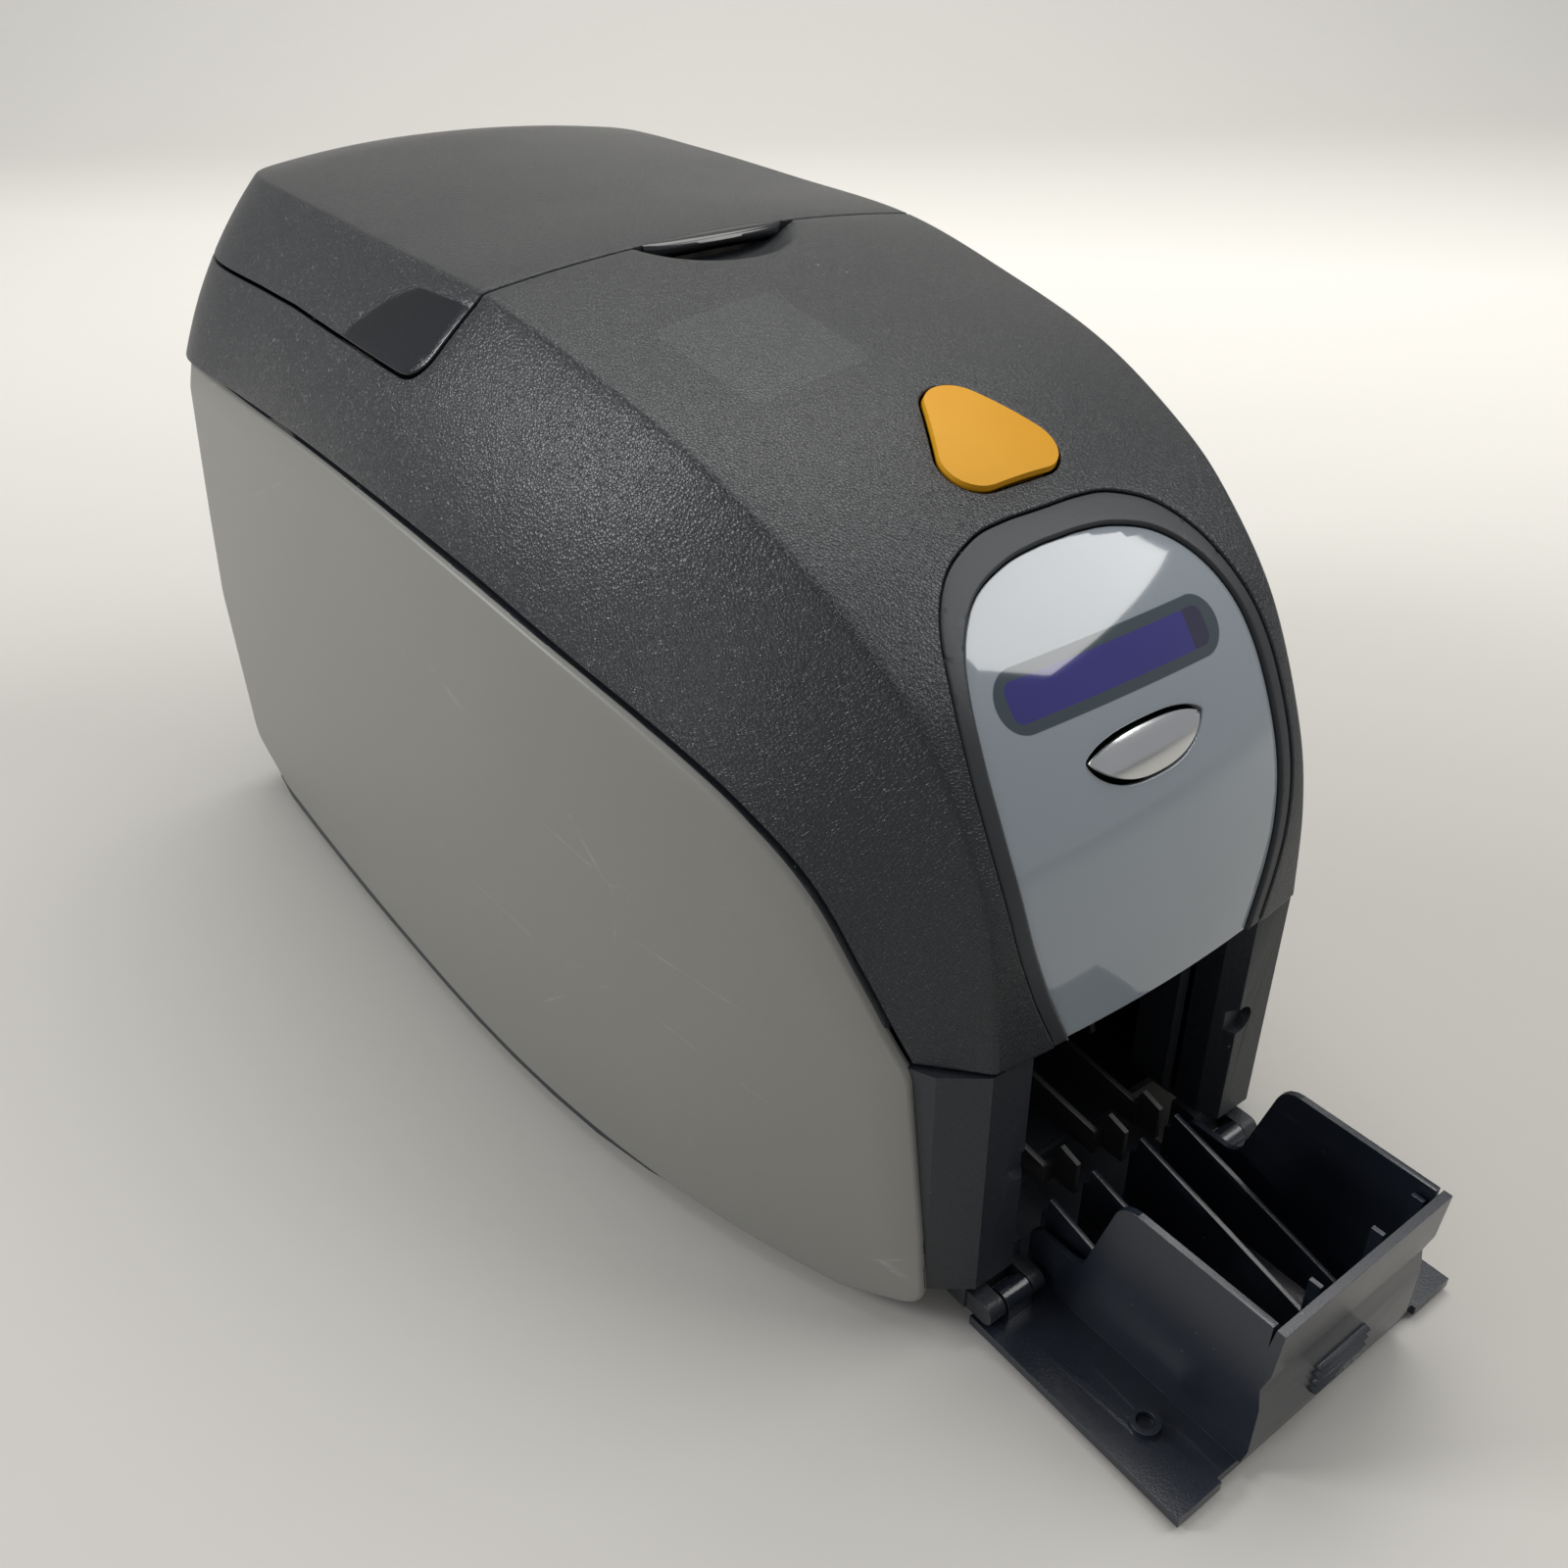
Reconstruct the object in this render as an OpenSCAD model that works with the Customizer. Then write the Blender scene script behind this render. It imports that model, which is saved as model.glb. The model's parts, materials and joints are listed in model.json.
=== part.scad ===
// Desktop ID card printer: feeder at the rear, print engine under a hinged lid,
// fold-down output tray at the front. Front is -Y, the table is z = 0.

/* [Body] */
// Greatest half width, over the grey side panels
body_half_w = 97; // [92:1:110]
// Height of the lid crease at the rear
body_h = 221; // [216:1:240]
// Distance from the origin to the closed front and to the rear face
body_half_len = 178; // [175:1:210]
// Wall of the moulded covers
wall = 2.5; // [1.8:0.1:3.2]
// Thickness of the grey side panels
panel_t = 2.6; // [2:0.1:3.4]
// Height of the rubber feet
foot_h = 4; // [3:0.5:6]
// Gap between a cover and its neighbour
seam = 0.8; // [0.5:0.1:1.2]

/* [Front] */
// Half width of the front between the lid creases
front_half_w = 50; // [48:1:54]
// Height of the lid edge above the table at the front
mouth_z = 84.5; // [82:0.5:88]
// Recess of the glass panel below the lid skin
glass_recess = 1.4; // [0.8:0.1:2]
// Thickness of the glass panel
glass_t = 2; // [1.5:0.1:2.4]
// Travel of the lid release button
release_travel = 3; // [2:0.5:4]
// Travel of the control button
control_travel = 1; // [0.6:0.2:1.4]

/* [Output tray] */
// Half width of the card box on the tray
box_half_w = 29.4; // [28.6:0.1:30]
// Length of the tray plate from its rear edge
tray_len = 64; // [60:0.5:66]
// Height of the card box above the table when open
box_h = 50; // [44:0.5:50]
// Thickness of the tray plate
tray_t = 2.8; // [2.4:0.1:3]
// Radius of the tray hinge pins
tray_pin_r = 1.5; // [1.2:0.1:1.8]

/* [Card path] */
// Width of a card
card_w = 54; // [50:0.5:56]
// Length of a card
card_len = 85.6; // [80:0.2:87]
// Thickness of a card, which the roller gaps leave free
card_t = 0.8; // [0.7:0.1:1]
// Slope of the card path, falling to the front
path_tilt = 12.5; // [11:0.5:14]
// Radius of the rollers under the path
roller_r = 9; // [8:0.25:9.5]
// Radius of the roller shafts
shaft_r = 3; // [2.5:0.25:4]
// Outer half width of the pair of side frames
frame_half_w = 45; // [43:0.5:47]
// Thickness of each side frame
frame_t = 2; // [1.5:0.25:3]
// Radial running clearance of shafts and pins
run = 0.05; // [0.03:0.01:0.08]

// Face width of the gears
gear_w = 5; // [4:0.5:6]

/* [Hidden] */

dark = [0.16, 0.16, 0.17];
grey = [0.45, 0.45, 0.45];
steel = [0.7, 0.71, 0.73];
black = [0.07, 0.07, 0.08];
white = [0.85, 0.85, 0.82];

// The outline points are those of a body 97 half wide, 178 half long and 221 high.
grow_x = body_half_w - 97;
scale_y = body_half_len / 178;
scale_z = body_h / 221;

// ---- small geometry functions -------------------------------------------------

function mix(a, b, t) = a + (b - a) * t;
function unit(v) = v / norm(v);
function catmull(a, b, c, d, t) = (2 * b + (c - a) * t + (2 * a - 5 * b + 4 * c - d) * t * t
  + (3 * b - a - 3 * c + d) * t * t * t) / 2;
function clamp_i(i, n) = max(0, min(n - 1, i));
function along(rows, s) = let(n = len(rows), i = clamp_i(floor(s), n - 1), t = s - i)
  catmull(rows[clamp_i(i - 1, n)], rows[i], rows[clamp_i(i + 1, n)], rows[clamp_i(i + 2, n)], t);

// Arc that rounds corner b between a and c
function corner_arc(a, b, c, r, n) = let(u = unit(a - b), v = unit(c - b),
  half = acos(u * v) / 2, centre = b + unit(u + v) * r / sin(half),
  p = b + u * r / tan(half) - centre, q = b + v * r / tan(half) - centre)
  [for (i = [0:n]) centre + r * unit(mix(p, q, i / n))];

// Outline through corners given as [x, y, radius]
function rounded(P, n = 4) = [for (i = [0:len(P) - 1])
  let(a = P[(i + len(P) - 1) % len(P)], b = P[i], c = P[(i + 1) % len(P)])
  each (b[2] > 0 ? corner_arc([a[0], a[1]], [b[0], b[1]], [c[0], c[1]], b[2], n) : [[b[0], b[1]]])];

// Extrude a (y, z) outline from x0 to x1
module along_x(x0, x1) { translate([x0, 0, 0]) rotate([90, 0, 90]) linear_extrude(x1 - x0) children(); }

// Extrude an (x, z) outline from y0 to y1
module along_y(y0, y1) { translate([0, y1, 0]) rotate([90, 0, 0]) linear_extrude(y1 - y0) children(); }

// Cylinder on a cross axis at [y, z], from x0 to x1
module rod(at, x0, x1, r, facets = 48) {
  translate([x0, at[0], at[1]]) rotate([0, 90, 0]) cylinder(r = r, h = x1 - x0, $fn = facets);
}

// Cylinder on a front-to-back axis at [x, z], from y0 to y1
module rod_y(at, y0, y1, r, facets = 32) {
  translate([at[0], y0, at[1]]) rotate([-90, 0, 0]) cylinder(r = r, h = y1 - y0, $fn = facets);
}

// The same on both sides of the middle
module both() {
  children();
  mirror([1, 0, 0]) children();
}

module block(lo, hi) { translate(lo) cube(hi - lo); }

// ---- the outline of the body --------------------------------------------------

// Half width of the side panels at y: full at the rear, drawn in like a bullet to the front
function half_w(y) = let(v = y / scale_y) body_half_w
  - (v < 40 ? 36 * pow((40 - v) / 210, 2.8) : 2 * pow((v - 40) / 105, 2));

// Crease half width, y, z, then lower edge half width, y, z, from the rear centre to the front
lid_rows = [
  [10, 181, 216, 14, 182, 170],
  [34, 176, 217, 46, 180, 170],
  [53, 160, 219, 76, 170, 170],
  [64, 136, 220.5, 94, 148, 170],
  [66, 92, 219.5, 94.5, 100, 170],
  [66, 42, 217.5, 94.5, 52, 170],
  [65.5, -9, 215, 94, 4, 168],
  [63.5, -52, 207, 91.5, -38, 163],
  [61.5, -87, 198, 87.5, -75, 155],
  [58.5, -116, 185.5, 82, -102, 146.5],
  [56, -134, 174, 76.5, -122, 137],
  [52.5, -153, 156, 70.5, -139, 123],
  [50.5, -167, 130.5, 66, -151, 104],
  [50, -173, 109.5, 63.5, -157, 93],
  [50, -175.5, 84.5, 61.5, -162, 84.5]
];
last_row = len(lid_rows) - 1;
row_steps = 2;
top_steps = 4;
side_steps = 3;

// Heights above the front lid edge follow body_h; the front lid edge is mouth_z
function lid_z(z) = mouth_z + (z - 84.5) * (body_h - mouth_z) / (221 - 84.5);
function widen(x, s) = x + (s > 10 ? mix(grow_x, front_half_w - 50, min(1, (s - 10) / 3)) : grow_x);
function lid_row(i) = let(r = lid_rows[i])
  [widen(r[0], i), r[1] * scale_y, lid_z(r[2]), r[3] + grow_x, r[4] * scale_y, lid_z(r[5])];
lid_ctrl = [for (i = [0:last_row]) lid_row(i)];
function lid_at(s) = along(lid_ctrl, s);
function lid_slope(s) = lid_at(min(last_row, s + 0.1)) - lid_at(max(0, s - 0.1));

// Section of the lid skin at s, sunk by d below the outer surface, from left to right
function lid_section(s, d) = let(
  r = lid_at(s), g = lid_slope(s),
  up = unit([0, g[2], -g[1]]),
  out_c = unit([-g[1], g[0], 0]), out_l = unit([-g[4], g[3], 0]),
  crease = [r[0], r[1], r[2]] - d * up - 0.5 * d * out_c,
  low = [r[3], r[4], r[5] - (d > 0 ? 5 : 0)] - d * out_l,
  belly = 6 * max(0, min(1, (11 - s) / 6)),
  bulge = (crease + low) / 2 + belly * unit(out_l + [0, 0, 0.7]),
  crown = s < 3 ? mix(1.5, 5, s / 3) : mix(5, 3.5, (s - 3) / (last_row - 3)),
  half = concat([for (i = [0:side_steps - 1]) let(t = i / side_steps)
      low * (1 - t) * (1 - t) + bulge * 2 * t * (1 - t) + crease * t * t],
    [for (i = [0:top_steps]) let(f = 1 - i / top_steps)
      [crease[0] * f, crease[1], crease[2]] + up * crown * (1 - f * f)]))
  concat([for (p = half) [-p[0], p[1], p[2]]],
    [for (i = [len(half) - 2:-1:0]) half[i]]);

// Middle of the section at s, its upward normal, and that normal's lean to the front
function skin_at(s, d) = lid_section(s, d)[side_steps + top_steps];
function skin_up(s) = let(g = lid_slope(s)) unit([0, g[2], -g[1]]);
function skin_tilt(s) = let(u = skin_up(s)) atan2(-u[1], u[2]);

// Solid under the lid skin, sunk by d; a sunk one runs out past the lid's lower edge. Its front
// face starts at the middle of the section, whose sides are straight there
module lid_solid(d) {
  rows = [for (i = [0:last_row * row_steps]) lid_section(i / row_steps, d)];
  tail = d > 0 ? [[for (p = rows[len(rows) - 1]) p + [0, 0, -8]]] : [];
  all = concat(rows, tail);
  n = len(all[0]);
  m = len(all);
  skin = [for (j = [0:m - 2], i = [0:n - 1]) let(k = (i + 1) % n,
    a = j * n + i, b = j * n + k, c = (j + 1) * n + k, e = (j + 1) * n + i)
    each [[a, b, c], [a, c, e]]];
  mid = side_steps + top_steps;
  rear = [for (i = [n - 1:-1:0]) i];
  front = [for (i = [0:n - 1]) (m - 1) * n + (mid + i) % n];
  polyhedron(points = [for (r = all) each r], faces = concat(skin, [rear, front]), convexity = 6);
}

// Side view of what lies below the lid: its top edge follows the lid's lower edge
function lower_edge(drop) = [for (i = [3 * 2:last_row * 2]) let(r = lid_at(i / 2)) [r[4], r[5] - drop]];
function side_view(drop, bottom) = let(top = lower_edge(drop), a = top[0], b = top[len(top) - 1])
  concat(top, rounded([
    [b[0], b[1], 0], [-163 * scale_y, mouth_z - drop - 4, 0], [-170 * scale_y, 18, 7],
    [-150 * scale_y, bottom, 18], [150 * scale_y, bottom, 10], [180 * scale_y, 17, 8],
    [179 * scale_y, lid_z(78), 20], [a[0], a[1], 0]]));
// Plan of the body inset by d, from the front to y1
function plan_half(d, y0, y1, n = 26) = [for (i = [0:n]) let(y = mix(y0, y1, i / n)) [half_w(y) - d, y]];
function plan(d, y0, y1) = concat(plan_half(d, y0, y1),
  [for (i = [26:-1:0]) let(p = plan_half(d, y0, y1)[i]) [-p[0], p[1]]]);

// ---- places that several pieces share -----------------------------------------

// Card path: u runs up the path to the rear, v square to it, from the exit point
exit_y = -120 * scale_y;
exit_z = mouth_z - 4.5;
function path(u, v) = [exit_y + u * cos(path_tilt) - v * sin(path_tilt),
  exit_z + u * sin(path_tilt) + v * cos(path_tilt)];
module on_path(u, v) { translate([0, path(u, v)[0], path(u, v)[1]]) rotate([path_tilt, 0, 0]) children(); }

gear_m = 1;
gear_teeth = 30;
pinion_teeth = 15;
pitch_u = gear_m * gear_teeth;
exit_u = 15;
front_idler_u = exit_u + pitch_u;
platen_u = front_idler_u + pitch_u;
middle_idler_u = platen_u + pitch_u;
transport_u = middle_idler_u + pitch_u;
rear_idler_u = transport_u + pitch_u;
feed_u = rear_idler_u + pitch_u;
roller_v = -roller_r;
pinion_v = roller_v - gear_m * (gear_teeth + pinion_teeth) / 2;
pinch_r = 5;
pinch_v = card_t + pinch_r;
clean_u = 108;
clean_r = 6;
clean_v = card_t + 0.4 + clean_r;
supply_at = path(118, 34);
takeup_at = path(30, 34);
head_v = card_t + 1;
hopper_u0 = 176;
hopper_u1 = hopper_u0 + card_len + 5;
hopper_half = card_w / 2 + 1;
frame_in = frame_half_w - frame_t;
gear_x0 = frame_half_w + 1.2;
gear_x1 = gear_x0 + gear_w;
bush_r = shaft_r + 2;

// Hinges
lid_axis = [178 * scale_y, lid_z(170) - 0.3];
lid_pin_r = 1.6;
lid_lug_r = 3.2;
feeder_axis = [183.5 * scale_y, lid_z(199.5)];
feeder_pin_r = 1.2;
feeder_lug_r = 3;
tray_axis = [-177 * scale_y, 8];
tray_x0 = front_half_w - 14;
tray_x1 = front_half_w - 6;
tray_top = 4;
tray_y0 = tray_axis[0] + 3.5;
tray_y1 = tray_y0 - tray_len;
tray_edge = -171 * scale_y;
tray_lug_r = 3.4;
cheek_lug_r = 3;
tray_ribs = [-24.9, -10.3, 7, 20];
catch_r = 3.6;
catch_x = 39;
catch_y = 19;
catch_shut_z = tray_axis[1] + tray_axis[0] - tray_y1 - catch_y;

// Lid front: release button, latch, glass
release_s = 8.61;
release_at = skin_at(release_s, 0);
release_up = skin_up(release_s);
shelf_depth = 10 + release_travel;
stem_depth = shelf_depth + 4;
stem_end = [release_at[1], release_at[2]] - stem_depth * [release_up[1], release_up[2]];
latch_arm = 14;
latch_axis = stem_end + [latch_arm, -2];
bar_r = 2;
bar_at = [latch_axis[0] - 4.5, exit_z + 68.86];
control_s = 11.72;
control_at = skin_at(control_s, glass_recess);

// Half outline of the glass panel as [x, z]; its bezel stands bezel_w outside it
bezel_w = 4;
glass_half = [[30, mouth_z - 6], [30, mouth_z + 0.5], [36, lid_z(101)], [39.5, lid_z(113)],
  [41.5, lid_z(127)], [42, lid_z(140)], [41, lid_z(151)], [38, lid_z(160.5)],
  [33, lid_z(168)], [25, lid_z(173.5)], [15, lid_z(177)], [5, lid_z(178.3)]];
function grown(p, grow) = [p[0] + grow, p[1] + max(0, p[1] - lid_z(160)) / 18 * grow];
function panel_outline(grow) = let(h = [for (p = glass_half) grown(p, grow)])
  concat(h, [for (i = [len(h) - 1:-1:0]) [-h[i][0], h[i][1]]]);

// ---- casing -------------------------------------------------------------------

// Cuts off the rear corners, more towards the top, sunk by d
module rear_corner_cut(d) {
  both() translate([grow_x, 0, 0]) translate([94, 180 * scale_y, 80]) rotate([0, 0, -33.7])
    rotate([14, 0, 0]) translate([-90, 2.5 - d, -90]) cube([180, 60, 220]);
}

// Tub that carries everything: floor, side walls and a band that shows below the panels
band_h = 4.2;
tub_front_x = 63;
apron_half = 30.4;
function tub_inside() = [[-200, foot_h + 3], [146 * scale_y, foot_h + 3], [169 * scale_y, foot_h + 9],
  [176 * scale_y, foot_h + 17], [190 * scale_y, foot_h + 17], [190 * scale_y, 260], [-200, 260]];
module chassis_tub() {
  apron_y = -147 * scale_y;
  color(dark) along_x(-apron_half, apron_half) polygon([[tray_axis[0] + 6, 0.8], [apron_y, 0.8],
    [apron_y, foot_h + 2], [apron_y - 2.4, foot_h + 2], [apron_y - 2.4, 2], [tray_axis[0] + 6, 2]]);
  color(dark) difference() {
    intersection() {
      union() {
        linear_extrude(240) polygon(plan(panel_t + 0.25, -165 * scale_y, 176 * scale_y));
        translate([0, 0, foot_h]) linear_extrude(band_h) polygon(base_plan);
      }
      union() {
        along_x(-200, 200) polygon(side_view(1.6, foot_h));
        block([-200, -150 * scale_y, foot_h], [200, 150 * scale_y, foot_h + band_h]);
      }
    }
    intersection() {
      translate([0, 0, foot_h + 3]) linear_extrude(240)
        polygon(plan(panel_t + 0.25 + wall, -170 * scale_y, 190 * scale_y));
      along_x(-200, 200) polygon(tub_inside());
    }
    block([-tub_front_x, -200, 0], [tub_front_x, -148 * scale_y, 240]);
    block([-70, -200, 0], [70, -156 * scale_y, 240]);
    rear_corner_cut(0);
    for (p = foot_places) translate([p[0], p[1], foot_h - 1]) cylinder(r = 6, h = 3, $fn = 32);
    for (x = [-40:10:40], y = [-60, -40, 60, 80]) translate([x, y, 0]) cylinder(r = 2.5, h = 20, $fn = 24);
  }
}

// Outline of the dark band at table level, drawn in further at the front
function base_half(y) = let(v = y / scale_y) half_w(y) - 1 - (v < -66 ? 12 * pow((-66 - v) / 94, 2) : 0);
base_side = [for (i = [0:16]) let(y = mix(-150, 179, i / 16) * scale_y) [base_half(y), y]];
base_plan = concat(base_side, [for (i = [16:-1:0]) [-base_side[i][0], base_side[i][1]]]);

module side_panel() {
  color(grey) difference() {
    intersection() {
      difference() {
        linear_extrude(260) polygon(plan(0, -172 * scale_y, 184 * scale_y));
        linear_extrude(260) polygon(plan(panel_t, -175 * scale_y, 190 * scale_y));
      }
      along_x(0, 200) polygon(side_view(1.2, foot_h + band_h + 0.3));
    }
    rear_corner_cut(0);
  }
}
module left_side_panel() { mirror([1, 0, 0]) side_panel(); }
module right_side_panel() { side_panel(); }

// Inner face of the side panel, where a cheek ends
function cheek_x(y) = half_w(y) - panel_t - 0.3;

// Post beside the tray opening, with the tray's hinge lugs below it
module cheek() {
  y0 = -174.7 * scale_y;
  inner = box_half_w + 1.6;
  f = min(front_half_w, cheek_x(y0));
  color(dark) difference() {
    union() {
      intersection() {
        linear_extrude(240) polygon([[inner + 3, y0 + 13], [inner + 3, y0 + 4.7], [inner + 7, y0], [f, y0],
          [cheek_x(y0 + 7.5), y0 + 7.5],
          [cheek_x(y0 + 17), y0 + 17], [min(f + 8, tub_front_x - 5), y0 + 25], [inner, y0 + 25],
          [inner, y0 + 14]]);
        along_y(-300, 0) polygon(rounded([[inner, 15, 8], [f + 14, 15, 0], [f + 14, mouth_z - 1.2, 0],
          [inner, mouth_z - 1.2, 0]]));
      }
      block([inner + 1, tray_axis[0] + 5.5, foot_h + 1], [f, tray_axis[0] + 13, 17]);
      for (x = [[inner + 0.5, tray_x0 - 0.5], [tray_x1 + 0.5, front_half_w - 0.5]]) {
        rod(tray_axis, x[0], x[1], cheek_lug_r);
        block([x[0], tray_axis[0], tray_axis[1] - cheek_lug_r],
          [x[1], tray_axis[0] + 6, tray_axis[1] + cheek_lug_r]);
      }
    }
    block([inner + 2.5, y0 + 12, 19], [f + 4, y0 + 26, mouth_z - 5]);
    translate([catch_x, y0 - 1, catch_shut_z]) rotate([-90, 0, 0])
      cylinder(r = catch_r + 0.5, h = 3.5, $fn = 32);
    rod(tray_axis, inner - 1, front_half_w - 1.5, tray_pin_r);
  }
}
module left_cheek() { mirror([1, 0, 0]) cheek(); }
module right_cheek() { cheek(); }

module tray_hinge_pins() {
  color(steel) both() rod(tray_axis, box_half_w + 2.1, front_half_w - 1.5, tray_pin_r);
}

// Rear wall with the sockets, wrapped round the corners between the tub's side walls
rear_half = half_w(176 * scale_y) - panel_t - wall - 0.55;
rear_y = 179.5 * scale_y;
module rear_body(d) {
  difference() {
    translate([0, 0, foot_h + 3 - (d > 0 ? 5 : 0)])
      linear_extrude(lid_z(170) - foot_h - 4.6 + (d > 0 ? 10 : 0))
      polygon(rounded([[-rear_half + d, 140 * scale_y - d, 0], [rear_half - d, 140 * scale_y - d, 0],
        [rear_half - d, rear_y - d, 9 - d], [-rear_half + d, rear_y - d, 9 - d]]));
    rear_corner_cut(d);
  }
}
rear_screws = [[74, 26], [74, 82], [37, 26]];
socket_z = 32;
power_x = -52;
usb_x = 8;
switch_x = -22;
module rear_cover() {
  color(dark) difference() {
    union() {
      difference() {
        rear_body(0);
        rear_body(wall);
      }
      both() for (x = [25.2, 44.2]) lid_lug(x + grow_x, x + grow_x + 6.6);
    }
    block([-200, 100, 0], [200, 176.3 * scale_y, foot_h + 17.5]);
    both() for (x = [[51, 80], [31.9, 44.1], [-1 - grow_x, 25]])
      rod(lid_axis, x[0] + grow_x, x[1] + grow_x, lid_lug_r + 0.5);
    both() rod(lid_axis, 20 + grow_x, 60 + grow_x, lid_pin_r);
    both() for (p = rear_screws) rod_y([p[0], p[1]], rear_y - 6, rear_y + 1, 1.25);
    translate([power_x, rear_y - 8, socket_z]) rotate([-90, 0, 0]) cylinder(r = 4.2, h = 12, $fn = 48);
    block([usb_x - 6.2, rear_y - 8, socket_z - 5.6], [usb_x + 6.2, rear_y + 4, socket_z + 5.6]);
    block([switch_x - 6.3, rear_y - 8, socket_z - 9.3], [switch_x + 6.3, rear_y + 4, socket_z + 9.3]);
    for (x = [-30:7.5:30], z = [90:12:138]) block([x - 2, rear_y - 8, z], [x + 2, rear_y + 4, z + 7]);
    block([52, rear_y - 8, socket_z - 1.5], [59, rear_y + 4, socket_z + 1.5]);
  }
}

// Fixed lug of the lid hinge; the lid's own lug stands between two of them
module lid_lug(x0, x1) {
  rod(lid_axis, x0, x1, lid_lug_r);
  block([x0, lid_axis[0] - lid_lug_r, lid_axis[1] - 12], [x1, lid_axis[0] + 1.5, lid_axis[1]]);
}
module lid_hinge_pins() { color(steel) both() rod(lid_axis, 25.2 + grow_x, 50.8 + grow_x, lid_pin_r); }

// Four feet near the corners and one under the middle, which keeps the floor from drumming
foot_places = concat([[0, 0]], [for (x = [-60, 60], y = [-100, 130]) [x, y * scale_y]]);
module rubber_feet() {
  color(black) for (p = foot_places) translate([p[0], p[1], 0]) {
    cylinder(r = 8, h = foot_h, $fn = 48);
    translate([0, 0, foot_h - 0.5]) cylinder(r = 5.9, h = 2.4, $fn = 48);
  }
}

// ---- print engine frames ------------------------------------------------------

frame_top = [path(6, 52), path(44, 56), path(140, 56), path(172, 40)];
module side_frame(sign) {
  x0 = sign > 0 ? frame_in : -frame_half_w;
  color(steel) difference() {
    along_x(x0, x0 + frame_t) polygon(rounded([
      [exit_y - 6, foot_h + 3, 0], [path(0, -30)[0], exit_z - 28, 10],
      [bar_at[0] - 12, exit_z, 10], [bar_at[0] - 12, bar_at[1] + 12, 8],
      [bar_at[0] + 16, bar_at[1] + 12, 8], [frame_top[1][0], frame_top[1][1], 12],
      [frame_top[2][0], frame_top[2][1], 10], [frame_top[3][0], frame_top[3][1], 10],
      [path(hopper_u1 + 6, 40)[0], path(hopper_u1 + 6, 40)[1], 10],
      [path(hopper_u1 + 6, 0)[0], foot_h + 3, 0]]));
    for (u = [exit_u, platen_u, transport_u, feed_u]) rod(path(u, roller_v), x0 - 1, x0 + 3, bush_r);
    for (u = [exit_u, transport_u]) rod(path(u, pinch_v), x0 - 1, x0 + 3, 2 + run);
    rod(path(clean_u, clean_v), x0 - 1, x0 + 3, 2.5 + run);
    for (p = [supply_at, takeup_at]) rod(p, x0 - 1, x0 + 3, 4 + run);
    for (p = rod_places) rod(p, x0 - 1, x0 + 3, 3);
    rod(bar_at, x0 - 1, x0 + 3, bar_r);
    for (u = [front_idler_u, middle_idler_u, rear_idler_u]) rod(path(u, roller_v), x0 - 1, x0 + 3, 2);
    rod(path(middle_idler_u, pinion_v), x0 - 1, x0 + 3, 9.1);
    rod(path(186, -42), x0 - 1, x0 + 3, 14);
    rod(path(232, -50), x0 - 1, x0 + 3, 16);
  }
}
rod_places = [[exit_y + 8, 34], path(150, -56), path(hopper_u1 - 4, -90)];
module left_frame() { side_frame(-1); }
module right_frame() { side_frame(1); }

module frame_rods() {
  color(steel) {
    for (p = rod_places) rod(p, -frame_half_w - 1, frame_half_w + 1, 3);
    for (u = [front_idler_u, middle_idler_u, rear_idler_u])
      rod(path(u, roller_v), -gear_x1 - 2, -frame_in, 2);
  }
}

module latch_bar() {
  color(steel) rod(bar_at, -frame_half_w - 1, frame_half_w + 1, bar_r);
}

module shaft_bushes() {
  color(white) both() for (u = [exit_u, platen_u, transport_u, feed_u]) difference() {
    union() {
      rod(path(u, roller_v), frame_in - 1.4, frame_half_w, bush_r);
      rod(path(u, roller_v), frame_in - 1.4, frame_in, bush_r + 1.2);
    }
    rod(path(u, roller_v), 0, 60, shaft_r + run);
  }
}

// ---- gears ----------------------------------------------------------------------

// Involute flank: point at roll angle t on a base circle of radius rb
function involute(rb, t) = rb * [cos(t) + t * PI / 180 * sin(t), sin(t) - t * PI / 180 * cos(t)];
function turned(p, a) = [p[0] * cos(a) - p[1] * sin(a), p[0] * sin(a) + p[1] * cos(a)];
function gear_outline(z, backlash = 0.22) = let(
  rp = gear_m * z / 2, rb = rp * cos(20), ra = rp + 0.9 * gear_m, rf = rp - 1.2 * gear_m,
  lean = (tan(20) - 20 * PI / 180) * 180 / PI,
  half = 90 / z + lean - backlash / 2 / rp * 180 / PI,
  t1 = sqrt(ra * ra / rb / rb - 1) * 180 / PI,
  t0 = rf > rb ? sqrt(rf * rf / rb / rb - 1) * 180 / PI : 0,
  flank = [for (i = [0:4]) turned(involute(rb, mix(t0, t1, i / 4)), -half)])
  [for (k = [0:z - 1]) let(a = 360 * k / z) each concat(
    [turned([rf, 0], a - half - (rf > rb ? 0.01 : 0.2))],
    [for (p = flank) turned(p, a)],
    [for (i = [4:-1:0]) turned([flank[i][0], -flank[i][1]], a)],
    [turned([rf, 0], a + half + (rf > rb ? 0.01 : 0.2))])];

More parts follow.
